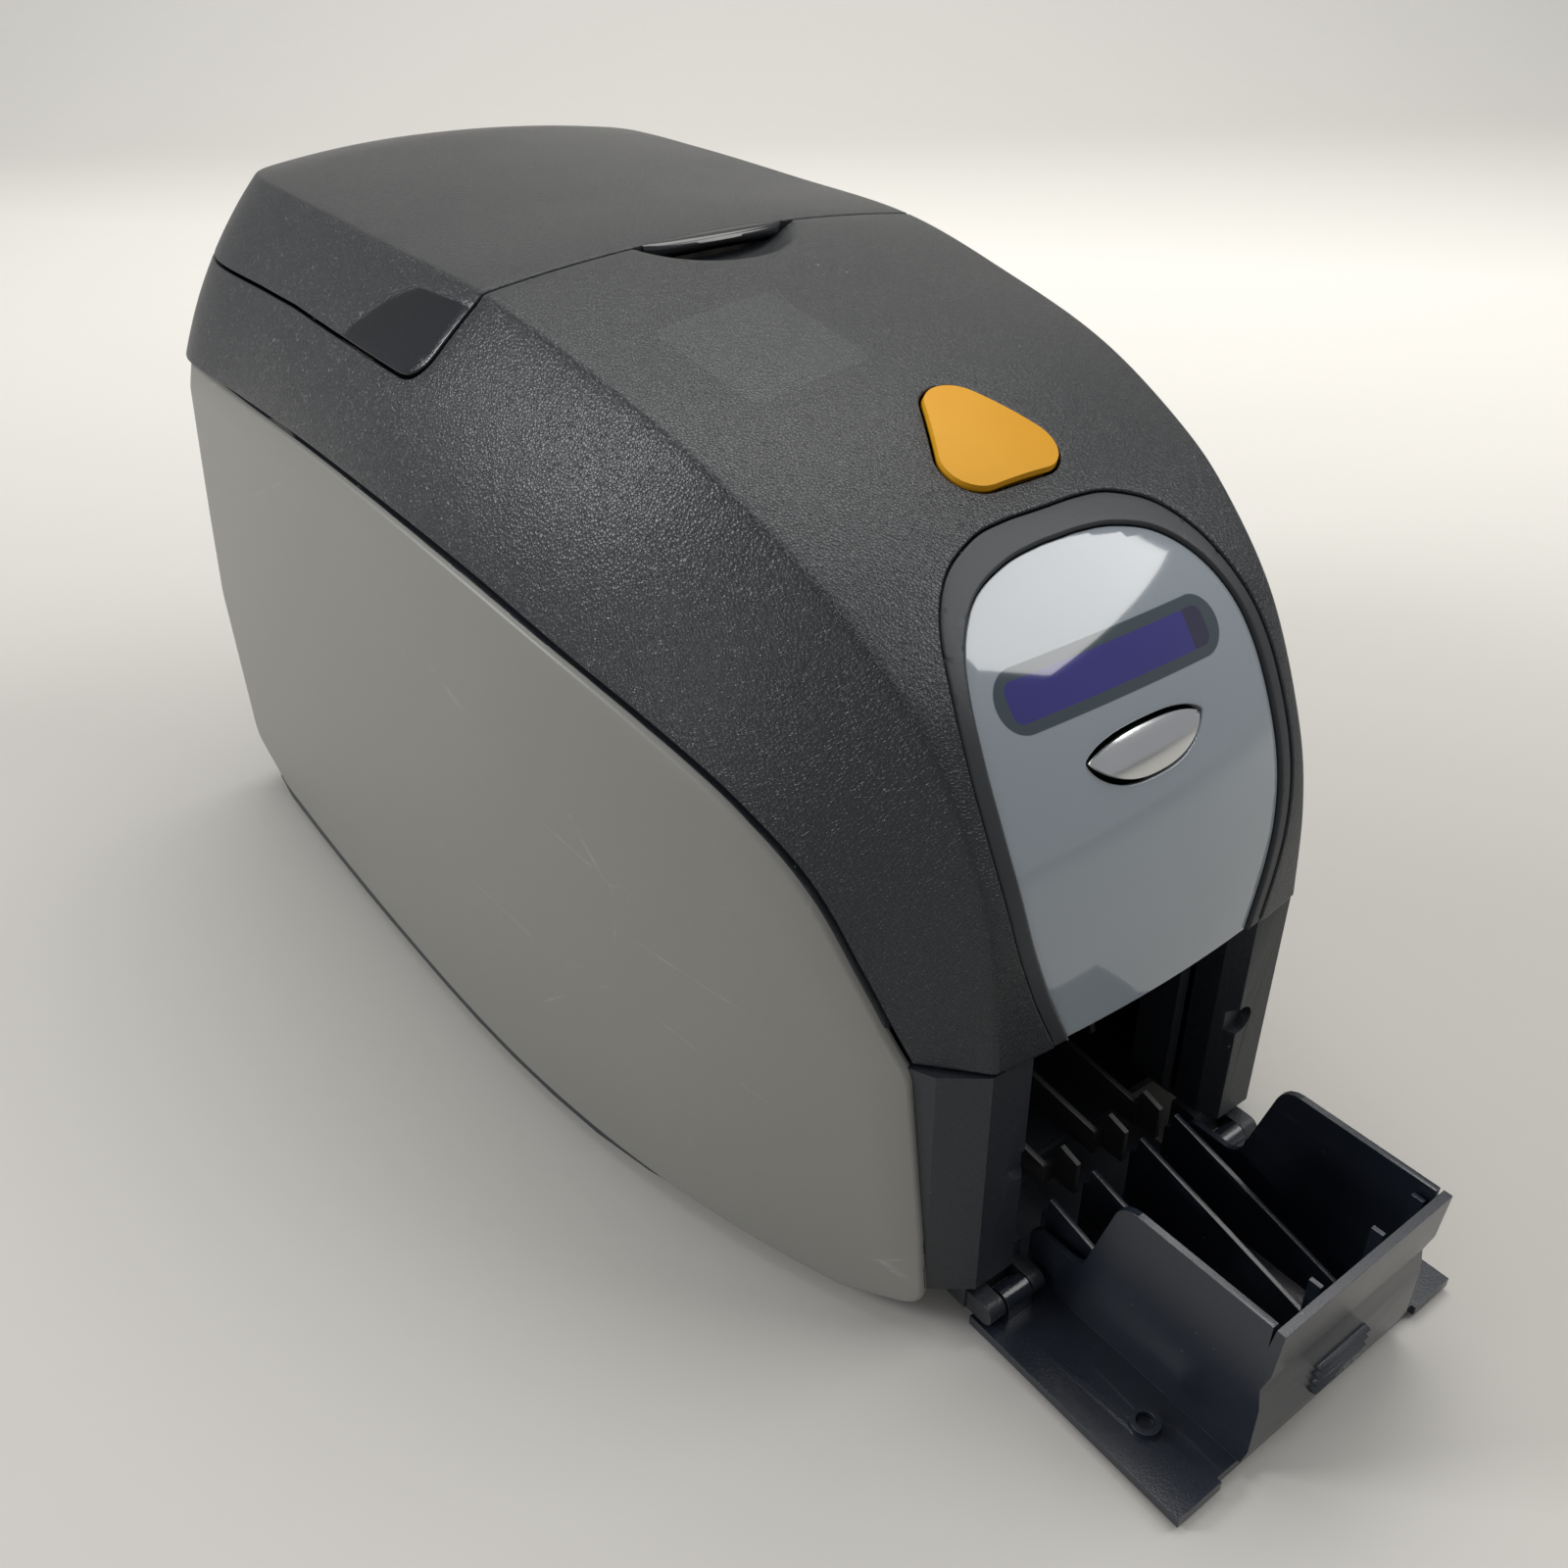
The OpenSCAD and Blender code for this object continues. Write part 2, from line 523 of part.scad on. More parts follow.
// Gear round a left-side shaft, with its hub; turn is the first tooth's angle up from the path
module spur_gear(z, turn, bore, hub_r) {
  difference() {
    union() {
      translate([-gear_x1, 0, 0]) rotate([90, 0, 90])
        linear_extrude(gear_w) rotate(turn) polygon(gear_outline(z));
      rod([0, 0], -gear_x1 - 1.5, -gear_x0 + 0.6, hub_r);
    }
    rod([0, 0], -gear_x1 - 3, -gear_x0 + 3, bore);
  }
}
half_tooth = 180 / gear_teeth;
module lightened_gear(turn, bore, hub_r) {
  difference() {
    spur_gear(gear_teeth, turn, bore, hub_r);
    for (a = [30:60:330]) rod(10 * [cos(a), sin(a)], -gear_x1 - 1, -gear_x0 + 1, 2.2, 24);
  }
}
module idler_gear(u) {
  color(white) difference() {
    on_path(u, roller_v) lightened_gear(half_tooth, 2 + run, 4);
  }
}
module front_idler_gear() { idler_gear(front_idler_u); }
module middle_idler_gear() { idler_gear(middle_idler_u); }
module rear_idler_gear() { idler_gear(rear_idler_u); }
module motor_pinion() {
  color("goldenrod") on_path(middle_idler_u, pinion_v) spur_gear(pinion_teeth, 102, 2, 4);
  color(steel) rod(path(middle_idler_u, pinion_v), -gear_x1 - 2.5, -frame_in + 12, 2.2);
}

// ---- rollers --------------------------------------------------------------------

module roller_shaft(u, x0, x1) { rod(path(u, roller_v), x0, x1, shaft_r); }
module tyre(u, x0, x1) {
  difference() {
    rod(path(u, roller_v), x0, x1, roller_r, 64);
    rod(path(u, roller_v), x0 - 1, x1 + 1, shaft_r);
  }
}
module platen_shaft() { color(steel) roller_shaft(platen_u, -gear_x1 - 3, frame_half_w + 3); }
module platen_rubber() { color(black) tyre(platen_u, -29, 29); }
module platen_gear() { color(white) on_path(platen_u, roller_v) lightened_gear(0, shaft_r, 6); }
module geared_shaft(u) {
  roller_shaft(u, -gear_x1 - 3, frame_half_w + 3);
  on_path(u, roller_v) lightened_gear(0, shaft_r - 0.4, 6);
}
module transport_shaft() { color(white) geared_shaft(transport_u); }
module transport_rubber() { color(black) for (x = [-24, 12]) tyre(transport_u, x, x + 12); }
module feed_shaft() { color(white) geared_shaft(feed_u); }
module feed_rubber() { color(black) for (x = [-16, 4]) tyre(feed_u, x, x + 12); }
module exit_shaft() { color(white) geared_shaft(exit_u); }
module exit_rubber() { color(black) for (x = [-22, 12]) tyre(exit_u, x, x + 10); }

module pinch_roller(u) {
  color(white) {
    rod(path(u, pinch_v), -frame_half_w - 0.6, frame_half_w + 0.6, 2);
    for (x = [-24, 12]) rod(path(u, pinch_v), x, x + 12, pinch_r);
  }
}
module exit_pinch_roller() { pinch_roller(exit_u); }
module transport_pinch_roller() { pinch_roller(transport_u); }
module cleaning_roller() {
  color([0.75, 0.2, 0.2]) rod(path(clean_u, clean_v), -28, 28, clean_r);
  color(white) rod(path(clean_u, clean_v), -frame_half_w - 0.6, frame_half_w + 0.6, 2.5);
}

module spool(at, roll_r) {
  color(white) {
    rod(at, -frame_half_w - 2, frame_half_w + 2, 4);
    for (x = [-33, 31]) rod(at, x, x + 2, 16, 64);
    rod(at, -32, 32, 7);
  }
  color([0.1, 0.1, 0.12]) rod(at, -28, 28, roll_r, 64);
}
module supply_spool() { spool(supply_at, 13.5); }
module takeup_spool() { spool(takeup_at, 9.5); }

// Film from the supply roll under the head's burn line to the take-up roll
module ribbon_film() {
  a = path(118 - 9, 34 - 13.8);
  b = path(platen_u + 8.5, head_v - 0.5);
  c = path(platen_u - 8.5, head_v - 0.5);
  e = path(30 + 6.2, 34 - 9.9);
  up = 0.25;
  color([0.2, 0.2, 0.22, 0.6]) along_x(-27.5, 27.5)
    polygon([a, b, c, e, e + [0, up], c + [up, up], b + [-up, up], a + [0, up]]);
}

// ---- card feed ------------------------------------------------------------------

hopper_t = 2.5;
hopper_out = hopper_half + hopper_t;
hopper_top = 72;
ear_u = (hopper_u0 + hopper_u1) / 2;
module path_block(x0, u0, v0, x1, u1, v1) { translate([x0, u0, v0]) cube([x1 - x0, u1 - u0, v1 - v0]); }

module card_hopper() {
  color(dark) on_path(0, 0) difference() {
    union() {
      path_block(-hopper_out, hopper_u0 - hopper_t, -hopper_t, hopper_out, hopper_u1 + hopper_t, hopper_top);
      both() for (u = [hopper_u0 + 6, hopper_u1 - 12])
        path_block(hopper_out - 1, u, 12, frame_in, u + 6, 20);
      path_block(-20, hopper_u0 - hopper_t - 4.5, 13, 26, hopper_u0, 15);
    }
    path_block(-hopper_half, hopper_u0, 0, hopper_half, hopper_u1, hopper_top + 1);
    path_block(-hopper_half, hopper_u0 - hopper_t - 1, 0, hopper_half, hopper_u0 + 1, card_t + 0.4);
    path_block(-18, feed_u - 10, -hopper_t - 1, 18, feed_u + 10, 1);
    path_block(-hopper_out - 1, ear_u - 3.6, 0, hopper_out + 1, ear_u + 3.6, hopper_top + 1);
    path_block(-14, hopper_u0 - hopper_t - 1, 26, 14, hopper_u0 + 1, hopper_top + 1);
  }
}

module card_weight() {
  color(dark) on_path(0, 0) {
    path_block(-hopper_half + 0.6, hopper_u0 + 1, 0.4, hopper_half - 0.6, hopper_u1 - 1, 5);
    path_block(-hopper_out - 2, ear_u - 3, 0.4, hopper_out + 2, ear_u + 3, 4);
    path_block(-12, ear_u - 2, 4.5, 12, ear_u + 2, 17);
  }
}

module thickness_lever() {
  u1 = hopper_u0 - hopper_t - 0.4;
  color("royalblue") on_path(0, 0) {
    path_block(-16, u1 - 3, 2.2, 16, u1, 12.6);
    path_block(15, u1 - 3, 6, 31, u1, 9);
    path_block(27, u1 - 6, 4, 31, u1, 11);
  }
}

guide_t = 2;
chute_top = [exit_y - 2, mouth_z - 48];
chute_ribs = [-16.6, 1.7, 17.6];
blade_y = tray_axis[0] + 12.5;
blade_z = tray_axis[1] + 21.5;
module card_guides() {
  color(dark) {
    on_path(0, 0) for (u = [[exit_u + roller_r + 1, platen_u - roller_r - 1],
        [platen_u + roller_r + 1, transport_u - roller_r - 1],
        [transport_u + roller_r + 1, hopper_u0 - hopper_t - 0.2]])
      path_block(-frame_in, u[0], -guide_t - 0.4, frame_in, u[1], -0.4);
    block([-frame_in, chute_top[0], 14], [frame_in, chute_top[0] + 2, chute_top[1] + 24]);
    for (x = chute_ribs) along_x(x - 0.8, x + 0.8) polygon([
      [chute_top[0] + 1, chute_top[1] - 6], [blade_y + 1, blade_z - 4.6], [blade_y + 0.4, blade_z - 12],
      [chute_top[0] + 1, chute_top[1] - 18]]);
    for (x = [1:3]) {
      along_x(tray_ribs[x] - 2.4, tray_ribs[x] - 1) polygon([[blade_y, blade_z],
        [tray_axis[0] + 6.6, blade_z - 1.8], [tray_axis[0] + 6.6, blade_z - 12],
        [blade_y + 2.4, blade_z - 12], [blade_y + 2.4, blade_z - 5]]);
      block([chute_ribs[x - 1] - 0.8, blade_y + 0.8, blade_z - 11.5],
        [tray_ribs[x] - 1, blade_y + 2.2, blade_z - 5]);
    }
  }
}

module drive_motor() {
  side = 17.5;
  color([0.2, 0.2, 0.22]) on_path(middle_idler_u, pinion_v) difference() {
    union() {
      path_block(-frame_in, -side, -side, -frame_in + 6, side, side);
      path_block(-frame_in + 6, -side + 1.5, -side + 1.5, -frame_in + 30, side - 1.5, side - 1.5);
      rod([0, 0], -frame_half_w, -frame_in + 1, 9);
      path_block(-frame_in + 12, -5, -side - 3, -frame_in + 26, 5, -side + 2);
    }
    rod([0, 0], -frame_half_w - 1, -frame_in + 12.5, 2.2 + run);
  }
}

// ---- electronics ----------------------------------------------------------------

board_z = foot_h + 9;
board_x = frame_in - 5;
module main_board() {
  y0 = -80 * scale_y;
  y1 = 100 * scale_y;
  color("darkgreen") {
    block([-board_x, y0, board_z], [board_x, y1, board_z + 1.6]);
    for (x = [-board_x + 5, board_x - 5], y = [y0 + 5, y1 - 5])
      translate([x, y, foot_h + 3]) cylinder(r = 3, h = board_z - foot_h - 2.5, $fn = 24);
  }
  color(black) {
    for (p = [[-14, -20, 14], [16, 10, 10], [-20, 40, 8]])
      block([p[0] - p[2], p[1] - p[2], board_z + 1.5], [p[0] + p[2], p[1] + p[2], board_z + 3.4]);
    for (x = [-24:12:24]) translate([x, y0 + 20, board_z + 1.5]) cylinder(r = 4, h = 11, $fn = 24);
  }
}

module power_socket() {
  color(black) difference() {
    union() {
      block([power_x - 7, rear_y - 16, socket_z - 8], [power_x + 7, rear_y - wall - 0.2, socket_z + 8]);
      rod_y([power_x, socket_z], rear_y - 6, rear_y - 0.2, 4);
    }
    rod_y([power_x, socket_z], rear_y - 13, rear_y + 1, 2.8);
  }
  color(steel) rod_y([power_x, socket_z], rear_y - 13.5, rear_y - 3, 1);
}

module usb_socket() {
  color(steel) difference() {
    block([usb_x - 6, rear_y - 16, socket_z - 5.4], [usb_x + 6, rear_y + 0.4, socket_z + 5.4]);
    block([usb_x - 4.4, rear_y - 12, socket_z - 4], [usb_x + 4.4, rear_y + 1, socket_z + 4]);
  }
  color(white)
    block([usb_x - 2.8, rear_y - 12.5, socket_z - 1.6], [usb_x + 2.8, rear_y - 2.5, socket_z + 1.6]);
}

// Rocker, pressed in at its upper half
module power_switch() {
  color(black) translate([0, rear_y - 6, socket_z]) rotate([-7, 0, 0])
    along_x(switch_x - 5.9, switch_x + 5.9)
    polygon([[-3, -4], [3, -8], [7, -8], [6, 0], [7, 8], [3, 8], [-3, 4]]);
  color(black) rod([rear_y - 6, socket_z], switch_x - 6.2, switch_x + 6.2, 1.2);
}

module case_screws() {
  color(steel) both() for (p = rear_screws) difference() {
    union() {
      rod_y(p, rear_y - 6, rear_y + 0.5, 1.25);
      rod_y(p, rear_y, rear_y + 1.8, 2.8);
    }
    block([p[0] - 2, rear_y + 0.9, p[1] - 0.4], [p[0] + 2, rear_y + 2, p[1] + 0.4]);
    block([p[0] - 0.4, rear_y + 0.9, p[1] - 2], [p[0] + 0.4, rear_y + 2, p[1] + 2]);
  }
}

// ---- lid ------------------------------------------------------------------------

// Side view of the feeder cover; d moves its seam away from the lid
feeder_seam = [[-9.5, 240, 0], [-9.5, 213.5, 2], [4, 202, 6], [18, 189.5, 10], [66, 189, 30],
  [106, 191.5, 30], [137, 198.5, 20], [196, 199.5, 0], [196, 240, 0]];
function feeder_view(d) = rounded([for (p = feeder_seam)
  [p[0] * scale_y + (p[0] < 20 ? d : 0), lid_z(p[1]) + (p[1] < 212 ? d : 0), p[2]]]);

module skin(t) {
  difference() {
    lid_solid(0);
    lid_solid(t);
  }
}

// Outline of the release button, its point to the rear
function release_outline(d) = rounded([[0, 24 + 1.9 * d, 8 + d], [21 + 1.5 * d, -16 - d, 8 + d],
  [-21 - 1.5 * d, -16 - d, 8 + d]], 8);
module at_release() { translate(release_at) rotate([skin_tilt(release_s), 0, 0]) children(); }
module at_control() { translate(control_at) rotate([skin_tilt(control_s), 0, 0]) children(); }

// Leaf between two arcs, deeper below than above
function control_outline(d) = let(n = 12, w = 17 + d) concat(
  [for (i = [0:n]) let(f = -1 + 2 * i / n) [w * f, -(6 + d) * (1 - f * f) - 0.6 * (1 - abs(f)) + 0.01]],
  [for (i = [n:-1:0]) let(f = -1 + 2 * i / n) [w * f, (4.6 + d) * (1 - f * f) + 0.4]]);

recess_at = [0, -4 * scale_y, lid_z(215) + 5 + 55.5];
module lid_shell() {
  color(dark) difference() {
    union() {
      difference() {
        skin(wall);
        both() rod(lid_axis, 24.6 + grow_x, 51.4 + grow_x, lid_lug_r + 0.6);
      }
      intersection() {
        lid_solid(0.2);
        translate(recess_at) sphere(r = 62.4, $fn = 96);
        block([-40, -60, 0], [40, -9.5 * scale_y - seam, 300]);
      }
      both() {
        rod(lid_axis, 32.1 + grow_x, 43.9 + grow_x, lid_lug_r);
        block([32.1 + grow_x, lid_axis[0] - lid_lug_r, lid_axis[1]],
          [43.9 + grow_x, lid_axis[0] + 1.4, lid_axis[1] + 9]);
        for (x = [18, 34.2]) {
          rod(feeder_axis, x, x + 5.8, feeder_lug_r);
          block([x, feeder_axis[0] - 5, feeder_axis[1] - 9],
            [x + 5.8, feeder_axis[0] + 0.5, feeder_axis[1] - 1]);
        }
      }
    }
    difference() {
      along_x(-150, 150) polygon(feeder_view(-seam / 2));
      both() for (x = [18, 34.2]) rod(feeder_axis, x, x + 5.8, feeder_lug_r);
    }
    both() rod(feeder_axis, 23.9, 34.1, feeder_lug_r + 0.6);
    both() rod(feeder_axis, 10, 50, feeder_pin_r);
    both() rod(lid_axis, 30 + grow_x, 46 + grow_x, lid_pin_r + run);
    along_y(-220 * scale_y, -124 * scale_y) polygon(panel_outline(bezel_w + 0.15));
    at_release() translate([0, 0, -20]) linear_extrude(40) polygon(release_outline(0.7));
    translate(recess_at) sphere(r = 60, $fn = 96);
  }
}

module feeder_cover() {
  color(dark) {
    difference() {
      union() {
        intersection() {
          skin(wall);
          along_x(-150, 150) polygon(feeder_view(seam / 2));
        }
        both() {
          rod(feeder_axis, 24.2, 33.8, feeder_lug_r);
          block([24.2, feeder_axis[0] - 5.2, feeder_axis[1] + 1],
            [33.8, feeder_axis[0] + 0.5, feeder_axis[1] + 9]);
        }
      }
      both() rod(feeder_axis, 20, 40, feeder_pin_r + run);
      both() for (x = [17.7, 33.9]) rod(feeder_axis, x, x + 6.4, feeder_lug_r + 0.5);
    }
  }
}

module feeder_hinge_pins() { color(steel) both() rod(feeder_axis, 18.2, 39.8, feeder_pin_r); }

// Bezel and glass follow the lid skin, sunk below it
module panel_bezel() {
  color(black) intersection() {
    difference() {
      lid_solid(0.6);
      lid_solid(glass_recess + glass_t + 0.6);
    }
    along_y(-220 * scale_y, -124.2 * scale_y) difference() {
      polygon(panel_outline(bezel_w));
      polygon(panel_outline(0.1));
    }
    block([-100, -300, mouth_z + 0.2], [100, 0, 300]);
  }
}

module front_panel() {
  color([0.5, 0.56, 0.62]) difference() {
    intersection() {
      difference() {
        lid_solid(glass_recess);
        lid_solid(glass_recess + glass_t);
      }
      along_y(-220 * scale_y, -124.4 * scale_y) polygon(panel_outline(0));
      block([-100, -300, mouth_z + 0.2], [100, 0, 300]);
    }
    at_control() translate([0, 0, -20]) linear_extrude(40) polygon(control_outline(0.5));
  }
}

lcd_s = 10.95;
module lcd_module() {
  translate(skin_at(lcd_s, glass_recess + glass_t)) rotate([skin_tilt(lcd_s), 0, 0]) {
    color([0.25, 0.25, 0.5]) block([-34, -8, -7.5], [34, 8, -3.4]);
    color("darkgreen") block([-36, -13, -9], [36, 13, -7.4]);
  }
}

// Frame under the lid top: two long webs, a cross bar for the head and the latch shelf
web_x0 = frame_in - 7;
web_t = 2;
web_low = path(0, 0)[1] + 78;
head_u = platen_u;
bracket_y = path(head_u, 40)[0];
module lid_frame() {
  color([0.3, 0.3, 0.32]) difference() {
    union() {
      intersection() {
        union() {
          lid_solid(wall + 0.05);
          block([-frame_in, -118 * scale_y, web_low - 1], [frame_in, 0, latch_axis[1] - 12]);
        }
        both() along_x(web_x0, web_x0 + web_t) polygon([
          [-128 * scale_y, latch_axis[1] - 12], [-118 * scale_y, lid_z(230)], [-14 * scale_y, lid_z(230)],
          [-14 * scale_y, web_low + 14], [bracket_y + 20, web_low], [bar_at[0] + 9, web_low]]);
      }
      block([-web_x0 - 1, bracket_y - 8, web_low], [web_x0 + 1, bracket_y + 8, web_low + 3]);
      intersection() {
        at_release() block([-web_x0 - 1, -8, -shelf_depth - 2], [web_x0 + 1, 8, -shelf_depth]);
        block([-web_x0 - 1, -200, latch_axis[1] - 8], [web_x0 + 1, 0, 300]);
      }
      both() along_x(8, 10) polygon([[stem_end[0] + 2, stem_end[1] + 3.4],
        [latch_axis[0] + 5, stem_end[1] + 1.5], latch_axis + [5, -5], latch_axis - [5, 5]]);
      both() block([8, latch_axis[0] + 2.4, latch_axis[1] - 4],
        [web_x0 + 1, latch_axis[0] + 4.6, latch_axis[1] + 2]);
      rod(latch_axis, -9, 9, 1.8);
    }
    at_release() translate([0, 0, -20]) cylinder(r = 3, h = 20, $fn = 32);
  }
}

module head_bracket() {
  v1 = head_v + 38;
  color(steel) {
    on_path(head_u, 0) path_block(-30, -10, v1, 30, 10, v1 + 2);
    along_x(-16, 16) polygon([path(head_u - 7, v1 + 1), path(head_u + 7, v1 + 1),
      [bracket_y + 6, web_low], [bracket_y - 6, web_low]]);
  }
}

module print_head() {
  color([0.75, 0.72, 0.68]) on_path(head_u, head_v) {
    path_block(-29, -7, 0.4, 29, 7, 6);
    rod([0, 1], -28, 28, 1);
  }
}

fin_h = 24;
module print_head_sink() {
  color("silver") on_path(head_u, head_v) difference() {
    path_block(-30, -11, 6, 30, 11, 6 + fin_h);
    for (x = [-26:6:22]) path_block(x, -12, 12, x + 4, 12, 6 + fin_h - 2);
  }
}

// Open coil spring of wire radius w on a coil radius r, closed to height h
module coil(r, w, h, turns, steps = 12, sides = 6) {
  rings = [for (i = [0:turns * steps]) let(a = 360 * i / steps, z = w + (h - 2 * w) * i / (turns * steps))
    [for (k = [0:sides - 1]) let(b = 360 * k / sides, q = r + w * cos(b))
      [q * cos(a), q * sin(a), z + w * sin(b)]]];
  m = len(rings);
  polyhedron(points = [for (g = rings) each g], faces = concat(
    [for (j = [0:m - 2], i = [0:sides - 1]) let(k = (i + 1) % sides,
      a = j * sides + i, b = j * sides + k, c = (j + 1) * sides + k, e = (j + 1) * sides + i)
      each [[a, c, b], [a, e, c]]],
    [[for (i = [0:sides - 1]) i], [for (i = [sides - 1:-1:0]) (m - 1) * sides + i]]));
}
module head_springs() {
  color(steel) on_path(head_u, head_v + 6 + fin_h) both() translate([20, 0, 0]) coil(4, 0.5, 8, 4);
}
module release_spring() {
  color(steel) at_release() translate([0, 0, -shelf_depth]) coil(4.4, 0.5, shelf_depth - 4, 4);
}

module release_button() {
  color([0.95, 0.65, 0.13]) at_release() {
    intersection() {
      translate([0, 0, -4]) linear_extrude(6) polygon(release_outline(0));
      translate([0, -3, -78.2]) sphere(r = 80, $fn = 96);
    }
    translate([0, 0, -stem_depth]) cylinder(r = 2.5, h = stem_depth - 3, $fn = 32);
  }
}

module control_button() {
  color("silver") at_control() {
    intersection() {
      translate([0, 0, -5]) linear_extrude(8) polygon(control_outline(0));
      translate([0, 0, control_travel + 0.2 - 60]) sphere(r = 60, $fn = 96);
    }
  }
}

// Latch: pad under the button's stem, pivot, and a hook under the bar
module latch_lever() {
  a = latch_axis;
  color(steel) difference() {
    union() {
      rod(a, -6, 6, 4.2);
      along_x(-6, 6) polygon([[stem_end[0] - 4, stem_end[1] - 0.7], [stem_end[0] + 3, stem_end[1] - 1.9],
        [a[0], a[1] + 4], [a[0], a[1] - 3.5], [stem_end[0] - 4, stem_end[1] - 4]]);
      along_x(-6, 6) polygon([[a[0] - 2, a[1]], [a[0] + 2.6, a[1]], [a[0] + 2.6, bar_at[1] - 6.5],
        bar_at - [1.6, 6.5], bar_at - [2.6, bar_r + 0.4], [a[0] - 2, bar_at[1] - bar_r - 0.4]]);
    }
    rod(a, -7, 7, 1.8 + run);
  }
}

// ---- output tray ------------------------------------------------------------------

module output_tray() {
  w = box_half_w;
  z0 = tray_top - tray_t;
  slope_hi = tray_axis[1] + 19.5;
  slope_lo = 10.2;
  color([0.13, 0.14, 0.18]) difference() {
    union() {
      block([-front_half_w, tray_y1, z0], [front_half_w, tray_y0, tray_top]);
      along_x(-w, w) polygon([[tray_y0 - 1, z0 + 0.6], [tray_axis[0] + 4.4, z0 + 0.6],
        [tray_axis[0] + 5.5, z0 + 1.7], [tray_axis[0] + 5.5, tray_top + 1], [tray_y0 - 1, tray_top + 1]]);
      both() {
        rod(tray_axis, tray_x0, tray_x1, tray_lug_r);
        block([tray_x0, tray_axis[0] - tray_lug_r, z0], [tray_x1, tray_axis[0], tray_axis[1]]);
        along_x(w - 1.8, w) polygon(rounded([[tray_axis[0] + 4.4, z0 + 0.6, 0],
          [tray_axis[0] + 5, z0 + 1.7, 0], [tray_axis[0] + 5, 20, 3], [tray_edge - 17, 20, 5],
          [tray_edge - 25.5, box_h, 6], [tray_y1 + 1, box_h, 0], [tray_y1 + 1, z0 + 0.6, 0]]));
        for (x = [11, 26]) block([x - 0.6, tray_y1 + 2, tray_top], [x + 0.6, tray_y1 + 5, box_h - 3]);
      }
      for (x = tray_ribs) along_x(x - 0.7, x + 0.7) polygon([[tray_axis[0] + 5.5, tray_top],
        [tray_axis[0] + 5.5, slope_hi - 5.5], [tray_axis[0] + 4, slope_hi - 5],
        [tray_axis[0] + 3.4, slope_hi], [tray_y1 + 3, slope_lo], [tray_y1 + 3, tray_top]]);
      along_x(-w, w) polygon([[tray_y1 + 1.2, z0], [tray_y1 - 0.6, 9], [tray_y1 - 0.6, 24],
        [tray_y1 + 0.4, 30], [tray_y1 - 1.2, 36], [tray_y1 - 2, box_h], [tray_y1 + 0.2, box_h],
        [tray_y1 + 2.8, 30], [tray_y1 + 3.2, z0]]);
      for (z = [13:2.6:22])
        along_x(-9, 9) polygon([[tray_y1, z - 0.9], [tray_y1 - 2.2, z], [tray_y1, z + 0.9]]);
      both() translate([catch_x, tray_y1 + catch_y, tray_top - 0.5]) difference() {
        cylinder(r = catch_r, h = 2.6, $fn = 32);
        translate([0, 0, -1]) cylinder(r = catch_r - 1.4, h = 5, $fn = 32);
      }
    }
    both() rod(tray_axis, tray_x0 - 1, tray_x1 + 1, tray_pin_r + run);
    block([-36, tray_y1 - 1, 0], [36, tray_y1 + 1.2, tray_top]);
  }
}

chassis_tub();
left_side_panel();
right_side_panel();
left_cheek();
right_cheek();
rear_cover();
rubber_feet();
left_frame();
right_frame();
frame_rods();
card_hopper();
card_guides();
shaft_bushes();
main_board();
power_socket();
usb_socket();
power_switch();
drive_motor();
tray_hinge_pins();
lid_hinge_pins();
latch_bar();
case_screws();
ribbon_film();
lid_shell();
lid_frame();
panel_bezel();
front_panel();
lcd_module();
head_bracket();
head_springs();
print_head();
print_head_sink();
feeder_hinge_pins();
release_spring();
feeder_cover();
release_button();
control_button();
latch_lever();
output_tray();
platen_shaft();
platen_rubber();
platen_gear();
transport_shaft();
transport_rubber();
feed_shaft();
feed_rubber();
exit_shaft();
exit_rubber();
front_idler_gear();
middle_idler_gear();
rear_idler_gear();
motor_pinion();
exit_pinch_roller();
transport_pinch_roller();
cleaning_roller();
supply_spool();
takeup_spool();
card_weight();
thickness_lever();
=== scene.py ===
import json
import math
import bmesh
import bpy
import numpy as np
from mathutils import Matrix, Vector
from mathutils.geometry import delaunay_2d_cdt

